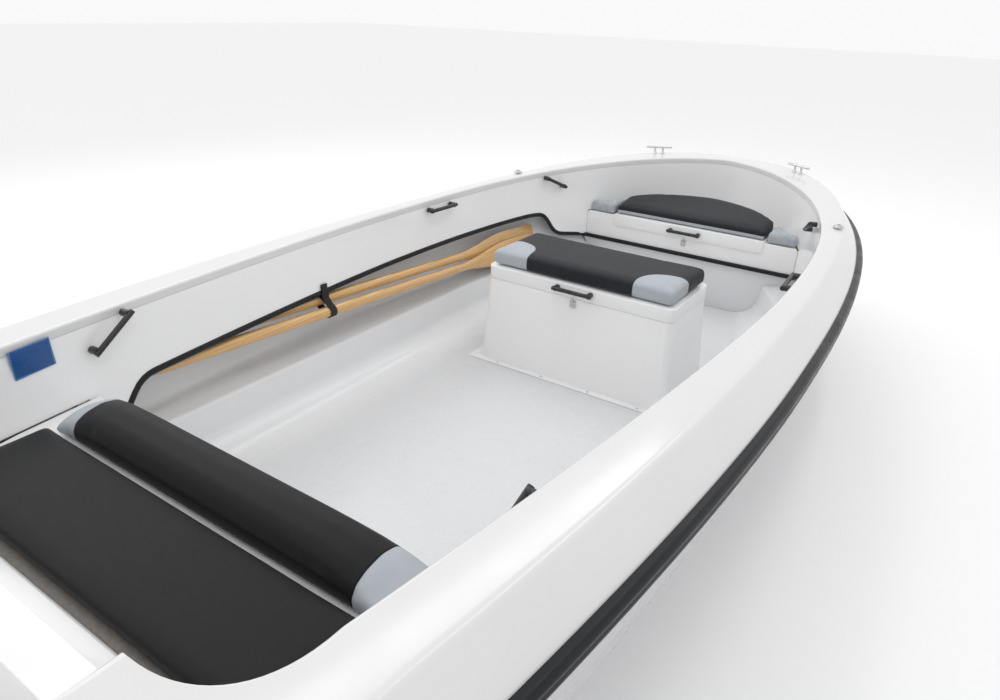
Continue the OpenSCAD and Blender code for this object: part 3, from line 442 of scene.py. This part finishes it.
def enamel_plate():
    """A blank blue plate with a thin pale border line."""
    n = Nodes("plate_blue")
    low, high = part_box("builder_plate")
    half_x, half_z = (high.x - low.x) / 2, (high.z - low.z) / 2
    border_out, border_in = 0.006, 0.005
    x, _, z = n.axes()
    across = n.math("ABSOLUTE", n.math("SUBTRACT", x, (low.x + high.x) / 2))
    upward = n.math("ABSOLUTE", n.math("SUBTRACT", z, (low.z + high.z) / 2))
    edge = n.math(
        "MAXIMUM",
        n.ramp(across, half_x - border_out, half_x - border_in),
        n.ramp(upward, half_z - border_out, half_z - border_in),
    )
    n.colour(n.mix(edge, (0.010, 0.075, 0.26), (0.10, 0.2, 0.42)))
    n.rough(n.ramp(n.noise(30, 3), 0.3, 0.7, 0.22, 0.34))
    return n.material


def studio_floor():
    n = Nodes("studio_floor")
    n.colour((0.94, 0.94, 0.945))
    n.rough(0.75)
    return n.material


# The hull and transom are the same white gelcoat as the deck, painted mid-grey: painted shade for hull
# sides that stand in shade
HULL_SHADED_WHITE = gelcoat("hull_gelcoat", (0.55, 0.55, 0.56), (0.52, 0.52, 0.535), 0.2)
DECK_WHITE = gelcoat("deck_gelcoat", (0.87, 0.87, 0.87), (0.855, 0.855, 0.86))
# The gunwale is the same white moulding as the side panels, painted darker: painted shade that tones
# down its brightly lit top
GUNWALE_SHADED_WHITE = gelcoat("gunwale_gelcoat", (0.70, 0.70, 0.70), (0.68, 0.68, 0.685))
LINER = floor_gelcoat()
RUBBER = black_rubber()
PLASTIC = black_plastic()
STEEL = stainless()
STRAP = webbing()
WOOD = varnished_wood()
BOARD = board_grey()
PLATE = enamel_plate()

# ---- mouldings --------------------------------------------------------------------------------

# The gunwale's outside, as distance, drop, whether it is measured from the flange, and corner radius
GUNWALE_OUT = [
    (0, -0.030, False, 0), (0, -0.005, False, 0.007), (0.006, -0.0005, False, 0.006),
    (0.012, 0, False, 0.004), (0.090, -0.004, True, 0.008), (0.078, -0.008, True, 0.010),
    (0.008, -0.098, True, 0.012), (0, -0.110, True, 0.006), (0, -FLANGE_DROP, True, 0),
]
GUNWALE_IN = [
    (0.006, -FLANGE_DROP, True, 0), (0.006, -0.112, True, 0.004), (0.014, -0.101, True, 0.006),
    (0.082, -0.014, True, 0.004), (0.092, -0.010, True, 0.004), (0.012, -0.006, False, 0.002),
    (0.008, -0.008, False, 0.002), (0.006, -0.012, False, 0.002), (0.006, -0.030, False, 0),
]
RAIL = [
    (0.0, -0.114, True, 0.001), (-0.020, -0.115, True, 0.006), (-0.0305, -0.127, True, 0.008),
    (-0.026, -0.1385, True, 0.002), (-0.0305, -0.150, True, 0.008), (-0.020, -0.165, True, 0.006),
    (0.0, -0.166, True, 0.001),
]


def corner_point(s):
    """A point on the rounded aft corner of the cockpit opening; s runs from 0 to 1."""
    reach_x = CORNER_X - DECK_X
    reach_y = inner_y(CORNER_X) - WELL_HALF
    angle = math.pi / 2 * s
    return (
        CORNER_X - reach_x * max(0, math.cos(angle)) ** 0.8,
        WELL_HALF + reach_y * math.sin(angle) ** 0.8,
    )


def opening_rows():
    """Matching points on the cockpit opening and on the flange, from the transom to the bow."""
    aft, corner, side, bow = 6, 18, 36, 64
    rows = []
    for i in range(aft):
        x = STERN_X + i * (DECK_X - STERN_X) / aft
        rows.append(((x, WELL_HALF), (x, flange_y(x))))
    for i in range(corner):
        x = DECK_X + i * (CORNER_X - DECK_X) / (corner - 1)
        rows.append((corner_point(i / (corner - 1)), (x, flange_y(x))))
    for i in range(1, side + 1):
        x = CORNER_X + i * (INNER_X - CORNER_X) / side
        rows.append(((x, inner_y(x)), (x, flange_y(x))))
    for i in range(1, bow + 1):
        x = INNER_X + INNER_REACH * math.sin(math.pi / 2 * i / bow)
        out = x + (STEM_X - INNER_X - INNER_REACH) * ((x - INNER_X) / INNER_REACH) ** 3
        rows.append(((x, inner_y(x)), (out, flange_y(out))))
    return rows


def gunwale_ring(row, first, profile, side):
    inner, outer = Vector(row[0]), Vector(row[1])
    across = (outer - inner).normalized()
    points = []
    for distance, drop, from_flange, _ in profile:
        q = outer - across * distance if from_flange else inner + across * distance
        shift = -drop * RAKE if first else 0
        points.append(Vector((q.x + shift, side * q.y, gunwale_top(q.x) + drop)))
    return round_line(points, [p[3] for p in profile])


def swept_round(name, profile):
    """Sweeps a profile round the whole gunwale, from one end of the transom to the other."""
    rows = opening_rows()
    rings = [gunwale_ring(row, i == 0, profile, 1) for i, row in enumerate(rows)]
    rings += [gunwale_ring(rows[i], i == 0, profile, -1) for i in range(len(rows) - 2, -1, -1)]
    return loft_mesh(name, rings)


def gunwale():
    mesh = swept_round("gunwale_moulding", GUNWALE_OUT + GUNWALE_IN)
    shade(mesh, 50)
    return add_object("gunwale_moulding", mesh, "boat", GUNWALE_SHADED_WHITE, ["gunwale_deck"])


def rub_rail():
    mesh = swept_round("rubbing_rail", RAIL)
    shade(mesh, 50)
    return add_object("rubbing_rail", mesh, "boat", RUBBER, ["rub_rail"])


# Lines along the hull from the keel to the gunwale, each with the values that part.scad gives it:
# half width, height, loss of width at the stern, two bow exponents, x and z on the stem,
# where it starts to rise, and the radius of its corner
STRAKES = [
    (0, 0.004, 0, 8, 0.5, 2.215, 0.150, 1.250, 0.004),
    (0.040, 0.004, 0, 8, 0.5, 2.225, 0.160, 1.250, 0.008),
    (0.062, 0.042, 0, 6, 0.5, 2.240, 0.185, 1.250, 0.030),
    (0.400, 0.084, 0.12, 2.6, 0.55, 2.290, 0.250, 1.500, 0.060),
    (0.545, 0.022, 0.12, 2.8, 0.5, 2.312, 0.290, 1.150, 0.012),
    (0.575, 0.004, 0.12, 2.8, 0.5, 2.318, 0.300, 1.150, 0.010),
    (0.665, 0.004, 0.13, 2.8, 0.5, 2.330, 0.325, 1.100, 0.010),
    (0.700, 0.022, 0.13, 2.8, 0.5, 2.340, 0.350, 1.000, 0.020),
    (0.908, 0.262, 0.19, 2.6, 0.48, 2.395, 0.500, -0.200, 0.012),
    (0.938, 0.290, 0.20, 2.6, 0.47, 2.402, 0.520, -0.200, 0.012),
    (0.982, 0.470, 0.21, 2.6, 0.45, 2.438, 0.605, -0.200, 0.080),
]
SIDE_LINES = len(STRAKES) + 2
BILGE_LINE = 7  # the last line of the bottom, where the sides start
FLANGE_GAP = 0.016
# The two lines behind the flange, which take their height from the gunwale
FLANGE_LINE = (
    HALF_BEAM - FLANGE_GAP, None, FLANGE_LOSS, FLANGE_POWER, FLANGE_ROOT,
    STEM_X - FLANGE_GAP, None, None, 0.02,
)


def strake(j):
    return STRAKES[j] if j < len(STRAKES) else FLANGE_LINE


def strake_y(j, x, inset=0.0, back=0.0):
    half, _, loss, p, r, end = strake(j)[:6]
    end -= back
    if x > BEAM_X:
        share = min(1, (x - BEAM_X) / (end - BEAM_X))
        return (half - inset) * max(0, 1 - share**p) ** r
    return (half - inset) * (1 - loss * ((BEAM_X - x) / (BEAM_X - STERN_X)) ** AFT_POWER)


def strake_z(j, x):
    if j >= len(STRAKES):
        drop = FLANGE_DROP + 0.002 if j == len(STRAKES) else FLANGE_DROP - 0.037
        return gunwale_top(x) - drop
    low, end, high, start = STRAKES[j][1], STRAKES[j][5], STRAKES[j][6], STRAKES[j][7]
    return low + (high - low) * max(0, (x - start) / (end - start)) ** 2


def hull_y(x, z):
    """Half width of the hull's outside at x and a height z above the bilge."""
    lines = range(BILGE_LINE, SIDE_LINES)
    return float(np.interp(z, [strake_z(j, x) for j in lines], [strake_y(j, x) for j in lines]))


def hull_ring(share, inset, back):
    """One section of the hull's skin, from the port gunwale down round the keel and up."""
    port = []
    for j in range(SIDE_LINES):
        start = STERN_X + (GUNWALE_Z - strake_z(j, STERN_X)) * RAKE
        x = start + share * (strake(j)[5] - back - start)
        up = inset if j <= BILGE_LINE else 0
        narrow = inset if j > BILGE_LINE else 0
        y = 0 if j == 0 else strake_y(j, x, narrow, back)
        port.append(Vector((x, y, strake_z(j, x) + up)))
    radii = [strake(j)[8] for j in range(SIDE_LINES)]
    both = port[::-1] + [Vector((p.x, -p.y, p.z)) for p in port[1:]]
    return round_line(both, radii[::-1] + radii[1:])


def hull():
    rows, skin, stem_skin = 96, 0.008, 0.010
    rings = []
    for k in range(rows + 1):
        share = math.sin(math.pi / 2 * k / rows)
        outside = hull_ring(share, 0, 0)
        inside = hull_ring(share, skin, stem_skin)
        rings.append(outside + inside[::-1])
    mesh = loft_mesh("hull_moulding", rings)
    shade(mesh, 60)
    return add_object("hull_moulding", mesh, "boat", HULL_SHADED_WHITE, ["hull_shell"])


# Corners of the side panels' lower edge between the benches, as x and z
ARCH = [
    (-1.262, 0.425), (-1.165, 0.537), (1.240, 0.571), (1.330, 0.560),
    (1.425, 0.432), (1.655, 0.392),
]
ARCH_LINE = round_line([(x, z, 0) for x, z in ARCH], [0, 0.05, 0.10, 0.05, 0.05, 0], steps=10)


def arch_z(x):
    return float(np.interp(x, [p.x for p in ARCH_LINE], [p.y for p in ARCH_LINE]))


def panel_foot(x):
    if x < STERN_FRONT_X - 0.030:
        return BENCH_Z + 0.001
    if x < ARCH[0][0]:
        return 0.400
    if x > BOW_FRONT_X + 0.001:
        return BENCH_Z + 0.001
    return arch_z(x)


def panel_line():
    """Points along the top of the port side panel, from the aft corner to the bow."""
    corner = [corner_point(i / 16) for i in range(17)]
    xs = [CORNER_X + i * (STERN_FRONT_X - 0.031 - CORNER_X) / 12 for i in range(1, 13)]
    xs += [STERN_FRONT_X - 0.029, ARCH[0][0] - 0.001] + [p.x for p in ARCH_LINE]
    xs += [-1.1 + 0.1 * i for i in range(24)] + [1.45 + 0.04 * i for i in range(5)]
    xs += [BOW_FRONT_X + 0.002]
    xs += [INNER_X + INNER_REACH * math.sin(math.radians(46 + 44 * i / 40)) for i in range(41)]
    return corner + [(x, inner_y(x)) for x in sorted(set(round(x, 5) for x in xs if x > CORNER_X))]


PANEL_SKIN = 0.006


def panel_ring(line, i, side):
    """One upright section of a side panel; side is 1 to port and -1 to starboard."""
    p = Vector(line[i])
    along = Vector(line[min(i + 1, len(line) - 1)]) - Vector(line[max(0, i - 1)])
    out = Vector((-along.y, along.x)).normalized() if i < len(line) - 1 else Vector((1, 0))
    top = gunwale_top(p.x) - MOULDING_TOP - 0.001
    foot = panel_foot(p.x)
    ring = []
    heights = (top, (top + foot) / 2, foot)
    for thickness, zs in ((0, heights), (PANEL_SKIN, heights[::-1])):
        for z in zs:
            inboard = lean(p.x) * (gunwale_top(p.x) - z - MOULDING_TOP)
            q = p - out * inboard + out * thickness
            ring.append(Vector((q.x, side * max(0, q.y), z)))
    return ring


def side_panels():
    """Both inner side panels, which meet round the bow."""
    line = panel_line()
    rings = [panel_ring(line, i, 1) for i in range(len(line))]
    rings += [panel_ring(line, i, -1) for i in range(len(line) - 2, -1, -1)]
    mesh = loft_mesh("side_panel_moulding", rings)
    shade(mesh, 40)
    replaced = ["side_panel_port", "side_panel_starboard"]
    return add_object("side_panel_moulding", mesh, "boat", DECK_WHITE, replaced)


TAPER_X, TAPER = 0.7, 0.99  # where the liner starts to narrow, and over what length
TUB_SKIN = 0.006


def tub_width(x):
    return 1 if x < TAPER_X else 1 - 0.42 * ((x - TAPER_X) / TAPER) ** 1.7


def tub_ring(x, up):
    """One section of the liner, from side to side, moved up by a distance."""
    f = tub_width(x)
    inset = 0.022 + 0.020 * min(1, max(0, (x - TAPER_X) / TAPER))
    knee = min(0.795 * f, hull_y(x, 0.300) - inset - 0.020)
    ledge = max(knee + 0.003, hull_y(x, 0.340) - inset)
    z = FLOOR_Z
    base = z + 0.003 * min(1, max(0, (x - 1.5) / 0.14))
    half = [
        (0, base + up), (0.540 * f, base + up), (0.620 * f, base + 0.009 + up),
        (0.700 * f - up * 0.3, z + 0.034 + up), (0.755 * f - up * 0.7, z + 0.076 + up * 0.7),
        (0.768 * f - up, z + 0.094 + up * 0.3), (knee - up, z + 0.195 + up * 0.2),
        (ledge - up, z + 0.228 + up * 0.5), (hull_y(x, 0.450) - inset - up, 0.450),
        (hull_y(x, 0.600) - inset - up, 0.600),
    ]
    radii = [0, 0.1, 0.08, 0.05, 0.03, 0.012, 0.014, 0.03, 0.05, 0]
    both = [(x, -y, h) for y, h in reversed(half)] + [(x, y, h) for y, h in half[1:]]
    return round_line(both, radii[::-1] + radii[1:])


def cockpit_liner():
    count = 70
    rings = []
    for i in range(count + 1):
        x = TUB_X0 + (TUB_X1 - TUB_X0) * i / count
        rings.append(tub_ring(x, 0.0) + tub_ring(x, -TUB_SKIN)[::-1])
    mesh = loft_mesh("cockpit_liner", rings)
    shade(mesh, 45)
    return add_object("cockpit_liner", mesh, "boat", LINER, ["cockpit_tub"])


def edging():
    """Rubber edging along both arches and the lower edge of the bow bench."""
    xs = [ARCH[0][0] + (1.600 - ARCH[0][0]) * i / 140 for i in range(141)]
    port = [Vector((x, panel_y(x, arch_z(x)) + 0.003, arch_z(x) - 0.005)) for x in xs]
    corner = panel_y(1.620, 0.392)
    turn = [
        port[-1], Vector((1.650, corner + 0.004, 0.387)), Vector((1.650, corner - 0.09, 0.386)),
    ]
    curve = round_line(turn, [0, 0.045, 0], steps=8)
    half = port[:-1] + curve
    cross = [Vector((1.650, 0.5 - 0.1 * i, 0.386)) for i in range(11)]
    path = half + cross + [Vector((p.x, -p.y, p.z)) for p in reversed(half)]
    mesh = tube_mesh("arch_edging", path, 0.012, sides=14, flat=0.62)
    shade(mesh, 60)
    return add_object("arch_edging", mesh, "boat", RUBBER, ["edge_trim"])


gunwale()
rub_rail()
hull()
side_panels()
cockpit_liner()
edging()

softened("transom", 0.010, HULL_SHADED_WHITE, "boat", 3)
softened("motor_well", 0.006, DECK_WHITE, "boat", 3)
softened("motor_pads", 0.003, BOARD, "boat")
softened("keel_bands", 0.001, STEEL, "boat")
softened("stem_band", 0.001, STEEL, "boat")
softened("bow_riser", 0.001, LINER, "boat")
softened("bow_bench", 0.003, DECK_WHITE, "boat", 3)
softened("bow_locker_lid", 0.0015, DECK_WHITE, "bow_hatch", 2)
softened("stern_bench", 0.004, DECK_WHITE, "boat", 3)
softened("stern_locker_lid", 0.0015, BOARD, "stern_hatch")
softened("storage_box", 0.0015, DECK_WHITE, "boat")
softened("box_lid", 0.005, DECK_WHITE, "box_hatch", 3)
for body, nodes in (
    ("boat", ("bow_latch", "box_latch", "hinges_fixed", "bow_cleats", "stern_cleats")),
    ("boat", ("rowlock_sockets", "bow_eye", "stern_eyes", "drain_plug")),
    ("box_hatch", ("box_hinge_leaves",)),
    ("bow_hatch", ("bow_hinge_leaves",)),
    ("stern_hatch", ("stern_hinge_leaves",)),
):
    for node in nodes:
        softened(node, 0.0006, STEEL, body, 1, 40)
softened("builder_plate", 0.0004, PLATE, "boat")
softened("oar_strap", 0.001, STRAP, "boat")
softened("grab_handles_port", 0.002, PLASTIC, "boat", 2, 40)
softened("grab_handles_starboard", 0.002, PLASTIC, "boat", 2, 40)
softened("bow_lid_handle", 0.002, PLASTIC, "bow_hatch", 2, 40)
softened("box_handle", 0.002, PLASTIC, "box_hatch", 2, 40)
softened("oar_upper", 0, WOOD, "boat", angle=80)
softened("oar_lower", 0, WOOD, "boat", angle=80)

# ---- cushions ---------------------------------------------------------------------------------

DARK = (0.016, 0.019, 0.023)
BLACK = (0.006, 0.0063, 0.007)
PALE = (0.43, 0.46, 0.50)


CLOTH_VOXEL = 0.008
CLOTH_PRESSURE = 4.0
CLOTH_STEPS = 20
FOOT_HEIGHT = 0.015  # over this height the cloth's upright travel grows from none to full


def stuffed(name, mesh, material, body, replaced, cap):
    """A closed mesh remeshed and blown up as cloth, with each point's travel capped."""
    obj = bpy.data.objects.new(name, mesh)
    bpy.context.scene.collection.objects.link(obj)
    remesh = obj.modifiers.new("remesh", "REMESH")
    remesh.mode = "VOXEL"
    remesh.voxel_size = CLOTH_VOXEL
    bpy.context.view_layer.update()
    rest = bpy.data.meshes.new_from_object(obj.evaluated_get(bpy.context.evaluated_depsgraph_get()))
    obj.modifiers.clear()
    obj.data = rest
    start = np.array([v.co for v in rest.vertices], float)
    cloth = obj.modifiers.new("cloth", "CLOTH")
    cloth.settings.quality = 5
    cloth.settings.mass = 0.4
    cloth.settings.tension_stiffness = 12
    cloth.settings.compression_stiffness = 12
    cloth.settings.bending_stiffness = 1.5
    cloth.settings.use_pressure = True
    cloth.settings.uniform_pressure_force = CLOTH_PRESSURE
    cloth.settings.effector_weights.gravity = 0
    cloth.collision_settings.use_collision = False
    cloth.point_cache.frame_start = 1
    cloth.point_cache.frame_end = CLOTH_STEPS
    for step in range(1, CLOTH_STEPS + 1):
        bpy.context.scene.frame_set(step)
    blown = obj.evaluated_get(bpy.context.evaluated_depsgraph_get())
    moved = np.array([v.co for v in blown.data.vertices], float)
    obj.modifiers.clear()
    bpy.context.scene.frame_set(1)
    travel = moved - start
    length = np.linalg.norm(travel, axis=1, keepdims=True)
    travel *= np.minimum(1, cap / np.maximum(length, 1e-9))
    foot = start[:, 2].min()
    flat = np.clip((start[:, 2] - foot) / FOOT_HEIGHT, 0, 1)
    travel[:, 2] *= flat
    rest.vertices.foreach_set("co", (start + travel).ravel())
    rest.update()
    smooth = obj.modifiers.new("smooth", "SMOOTH")
    smooth.iterations = 6
    smooth.factor = 0.5
    refine = obj.modifiers.new("refine", "SUBSURF")
    refine.levels = 1
    refine.render_levels = 1
    bpy.context.view_layer.update()
    final = bpy.data.meshes.new_from_object(obj.evaluated_get(bpy.context.evaluated_depsgraph_get()))
    final.name = name
    obj.modifiers.clear()
    bpy.data.objects.remove(obj)
    shade(final, 180)
    piece = add_object(name, final, body, material, replaced)
    return piece


def cad_copy(node, shrink=0.0):
    """A merged copy of a CAD node's mesh, drawn in along its normals."""
    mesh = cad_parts[node].data.copy()
    work = bmesh.new()
    work.from_mesh(mesh)
    bmesh.ops.remove_doubles(work, verts=work.verts, dist=CAD_MERGE)
    work.normal_update()
    if shrink:
        foot = min(v.co.z for v in work.verts)
        moves = [(v, v.normal.copy()) for v in work.verts]
        for v, normal in moves:
            v.co -= normal * shrink
            v.co.z = max(v.co.z, foot + 0.0005)
    work.to_mesh(mesh)
    work.free()
    return mesh


def band(n, value, centre, half):
    """1 on a line where the value is at the centre, falling to 0 half a width away."""
    return n.ramp(n.math("ABSOLUTE", n.math("SUBTRACT", value, centre)), 0, half, 0.0, 1.0)


SEAM_EDGE = 0.0006  # half the width of the change from one colour to the next


def bolster_masks():
    """Pale ends to the roll, with a seam where each begins."""
    seam_y = 0.517

    def ends(n):
        _, y, _ = n.axes()
        return n.ramp(n.math("ABSOLUTE", y), seam_y - SEAM_EDGE, seam_y + SEAM_EDGE)

    def seam(n):
        _, y, _ = n.axes()
        return band(n, n.math("ABSOLUTE", y), seam_y, 0.006)

    return ends, seam


ends_mask, ends_seam = bolster_masks()
BOLSTER = vinyl("bolster_vinyl", BLACK, PALE, ends_mask, [ends_seam])
STERN_VINYL = vinyl("stern_vinyl", BLACK)
PALE_VINYL = vinyl("pale_vinyl", PALE)


def box_corner_masks():
    """Pale patches on the two aft corners of the box cushion, with a curved edge to each."""
    edge_x = box_cushion_low.x
    half = box_cushion_high.y
    patch_y, patch_x = 0.19, 0.18

    def reach(n):
        x, y, _ = n.axes()
        inward = n.math("MAXIMUM", n.math("SUBTRACT", half, n.math("ABSOLUTE", y)), 0)
        forward = n.math("MAXIMUM", n.math("SUBTRACT", x, edge_x), 0)
        across = n.math("POWER", n.math("DIVIDE", inward, patch_y), 3)
        along = n.math("POWER", n.math("DIVIDE", forward, patch_x), 3)
        return n.math("ADD", across, along)

    def patch(n):
        return n.ramp(reach(n), 0.99, 1.01, 1.0, 0.0)

    def seam(n):
        return band(n, reach(n), 1.0, 0.06)

    return patch, seam


def bow_strip_masks():
    """A pale strip low down along the front edge of the bow cushion."""
    front = bow_cushion_low.x + 0.030
    top = bow_cushion_low.z + 0.025

    def strip(n):
        x, _, z = n.axes()
        low = n.ramp(z, top - SEAM_EDGE, top + SEAM_EDGE, 1.0, 0.0)
        near = n.ramp(x, front - SEAM_EDGE, front + SEAM_EDGE, 1.0, 0.0)
        return n.math("MULTIPLY", low, near)

    def seam(n):
        x, _, z = n.axes()
        near = n.ramp(x, front - SEAM_EDGE, front + SEAM_EDGE, 1.0, 0.0)
        return n.math("MULTIPLY", band(n, z, top, 0.004), near)

    return strip, seam


patch_mask, patch_seam = box_corner_masks()
BOX_VINYL = vinyl("box_vinyl", DARK, PALE, patch_mask, [patch_seam])
strip_mask, strip_seam = bow_strip_masks()
BOW_VINYL = vinyl("bow_vinyl", DARK, PALE, strip_mask, [strip_seam])

# Name, CAD node, how far it is drawn in first, material, slot, body and the cap on its travel
CUSHIONS = [
    ("stern_seat_cushion", "stern_cushion", 0.004, STERN_VINYL, "dark_vinyl", "stern_hatch", 0.008),
    ("stern_front_roll", "stern_bolster", 0.005, BOLSTER, "dark_vinyl", "boat", 0.008),
    ("box_seat_cushion", "box_cushion", 0.005, BOX_VINYL, "dark_vinyl", "box_hatch", 0.008),
    ("bow_seat_cushion", "bow_cushion", 0.004, BOW_VINYL, "dark_vinyl", "bow_hatch", 0.008),
    ("bow_end_cushions", "bow_end_pads", 0.004, PALE_VINYL, "light_vinyl", "boat", 0.005),
]
for name, node, shrink, material, slot, body, cap in CUSHIONS:
    stuffed(name, cad_copy(node, shrink), material, body, [node], cap=cap)

# ---- screws, placed with geometry nodes ------------------------------------------------------


def dome_mesh(name, rows, sides=16):
    """A round head on the XY plane, from rows of (radius, height)."""
    rings = []
    for radius, height in rows:
        turn = [2 * math.pi * k / sides for k in range(sides)]
        rings.append([(radius * math.cos(a), radius * math.sin(a), height) for a in turn])
    return loft_mesh(name, rings)


def repeated(name, stamp, points, turns, material, body, scale=1.0):
    """The stamp's mesh at each point, turned by that point's Euler angles, as one piece."""
    carrier = bpy.data.meshes.new(name + "_points")
    carrier.from_pydata([tuple(p) for p in points], [], [])
    turn = carrier.attributes.new("turn", "FLOAT_VECTOR", "POINT")
    turn.data.foreach_set("vector", np.array(turns, float).ravel())
    source = bpy.data.objects.new(name + "_stamp", stamp)
    obj = bpy.data.objects.new(name + "_carrier", carrier)
    bpy.context.scene.collection.objects.link(source)
    bpy.context.scene.collection.objects.link(obj)
    tree = bpy.data.node_groups.new(name + "_nodes", "GeometryNodeTree")
    face = tree.interface
    face.new_socket("Geometry", in_out="INPUT", socket_type="NodeSocketGeometry")
    size = face.new_socket("Stamp Scale", in_out="INPUT", socket_type="NodeSocketFloat")
    face.new_socket("Geometry", in_out="OUTPUT", socket_type="NodeSocketGeometry")
    start = tree.nodes.new("NodeGroupInput")
    finish = tree.nodes.new("NodeGroupOutput")
    stamped = tree.nodes.new("GeometryNodeObjectInfo")
    stamped.inputs["Object"].default_value = source
    turned = tree.nodes.new("GeometryNodeInputNamedAttribute")
    turned.data_type = "FLOAT_VECTOR"
    turned.inputs["Name"].default_value = "turn"
    place = tree.nodes.new("GeometryNodeInstanceOnPoints")
    solid = tree.nodes.new("GeometryNodeRealizeInstances")
    paint = tree.nodes.new("GeometryNodeSetMaterial")
    paint.inputs["Material"].default_value = material
    join = tree.links.new
    join(start.outputs["Geometry"], place.inputs["Points"])
    join(stamped.outputs["Geometry"], place.inputs["Instance"])
    join(turned.outputs["Attribute"], place.inputs["Rotation"])
    join(start.outputs["Stamp Scale"], place.inputs["Scale"])
    join(place.outputs["Instances"], solid.inputs["Geometry"])
    join(solid.outputs["Geometry"], paint.inputs["Geometry"])
    join(paint.outputs["Geometry"], finish.inputs["Geometry"])
    spread = obj.modifiers.new("spread", "NODES")
    spread.node_group = tree
    spread[size.identifier] = scale
    bpy.context.view_layer.update()
    baked = bpy.data.meshes.new_from_object(obj.evaluated_get(bpy.context.evaluated_depsgraph_get()))
    baked.name = name
    bpy.data.objects.remove(obj)
    bpy.data.objects.remove(source)
    shade(baked, 40)
    return add_object(name, baked, body, material)


# Rows of a screw head, as radius and height
SCREW = [(0.0048, 0.0), (0.0048, 0.0007), (0.0040, 0.0017), (0.0024, 0.0023), (0.0006, 0.0024)]
shelf_low, shelf_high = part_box("storage_box")
flange_in = 0.012
screw_foot = FLOOR_Z + 0.0075  # 3.5 mm above the top of the box's flange, at FLOOR_Z + 0.004
flange_points = [
    (x, y, screw_foot)
    for x in (shelf_low.x + flange_in, shelf_high.x - flange_in)
    for y in (-0.36, -0.12, 0.12, 0.36)
]
repeated(
    "box_flange_screws", dome_mesh("screw_head", SCREW), flange_points,
    [(0, 0, 0)] * len(flange_points), STEEL, "boat",
)

# ---- floor, light and camera ------------------------------------------------------------------


def plane(name, size, material):
    """A square floor that reaches size each way from the origin."""
    mesh = bpy.data.meshes.new(name)
    corners = [(-size, -size, 0), (size, -size, 0), (size, size, 0), (-size, size, 0)]
    mesh.from_pydata(corners, [], [(0, 1, 2, 3)])
    obj = add_object(name, mesh, None, material)


def area_light(name, place, target, size, power):
    data = bpy.data.lights.new(name, "AREA")
    data.shape = "RECTANGLE"
    data.size, data.size_y = size
    data.energy = power
    light = bpy.data.objects.new(name, data)
    light.location = place
    light.rotation_euler = (Vector(target) - Vector(place)).to_track_quat("-Z", "Y").to_euler()
    bpy.context.scene.collection.objects.link(light)


def studio():
    plane("studio_floor", 40, studio_floor())
    world = bpy.data.worlds.new("studio")
    world.use_nodes = True
    world.node_tree.nodes["Background"].inputs["Color"].default_value = (1.0, 1.0, 1.0, 1)
    world.node_tree.nodes["Background"].inputs["Strength"].default_value = 0.95
    bpy.context.scene.world = world
    area_light("key_softbox", (1.0, 4.5, 4.2), (0.2, 0, 0.4), (5, 2.2), 55)
    area_light("left_strip", (0.6, 1.2, 4.6), (0.4, 0, 0.4), (8, 0.35), 30)
    area_light("right_strip", (0.6, -1.2, 4.6), (0.4, 0, 0.4), (8, 0.35), 26)
    scene = bpy.context.scene
    scene.view_settings.view_transform = "Standard"
    scene.view_settings.look = "None"
    scene.view_settings.exposure = 0.0


CAMERA_PLACE = (-2.245, -1.342, 1.655)
CAMERA_TURN = (25.633, 33.343, -1.927)  # pitch, yaw and roll, in degrees
CAMERA_LENS = 26.07


def camera():
    """A standing person's view over the starboard quarter, looking forward and down."""
    data = bpy.data.cameras.new("camera")
    data.sensor_width = 36
    data.lens = CAMERA_LENS
    data.clip_start = 0.05
    data.clip_end = 200
    pitch, yaw, roll = (math.radians(a) for a in CAMERA_TURN)
    look = Vector(
        (math.cos(yaw) * math.cos(pitch), math.sin(yaw) * math.cos(pitch), -math.sin(pitch))
    )
    right = Vector((math.sin(yaw), -math.cos(yaw), 0))
    down = look.cross(right)
    right_rolled = right * math.cos(roll) + down * math.sin(roll)
    down_rolled = down * math.cos(roll) - right * math.sin(roll)
    turn = Matrix((right_rolled, -down_rolled, -look)).transposed().to_4x4()
    obj = bpy.data.objects.new("camera", data)
    obj.matrix_world = Matrix.Translation(CAMERA_PLACE) @ turn
    bpy.context.scene.collection.objects.link(obj)
    bpy.context.scene.camera = obj


studio()
camera()
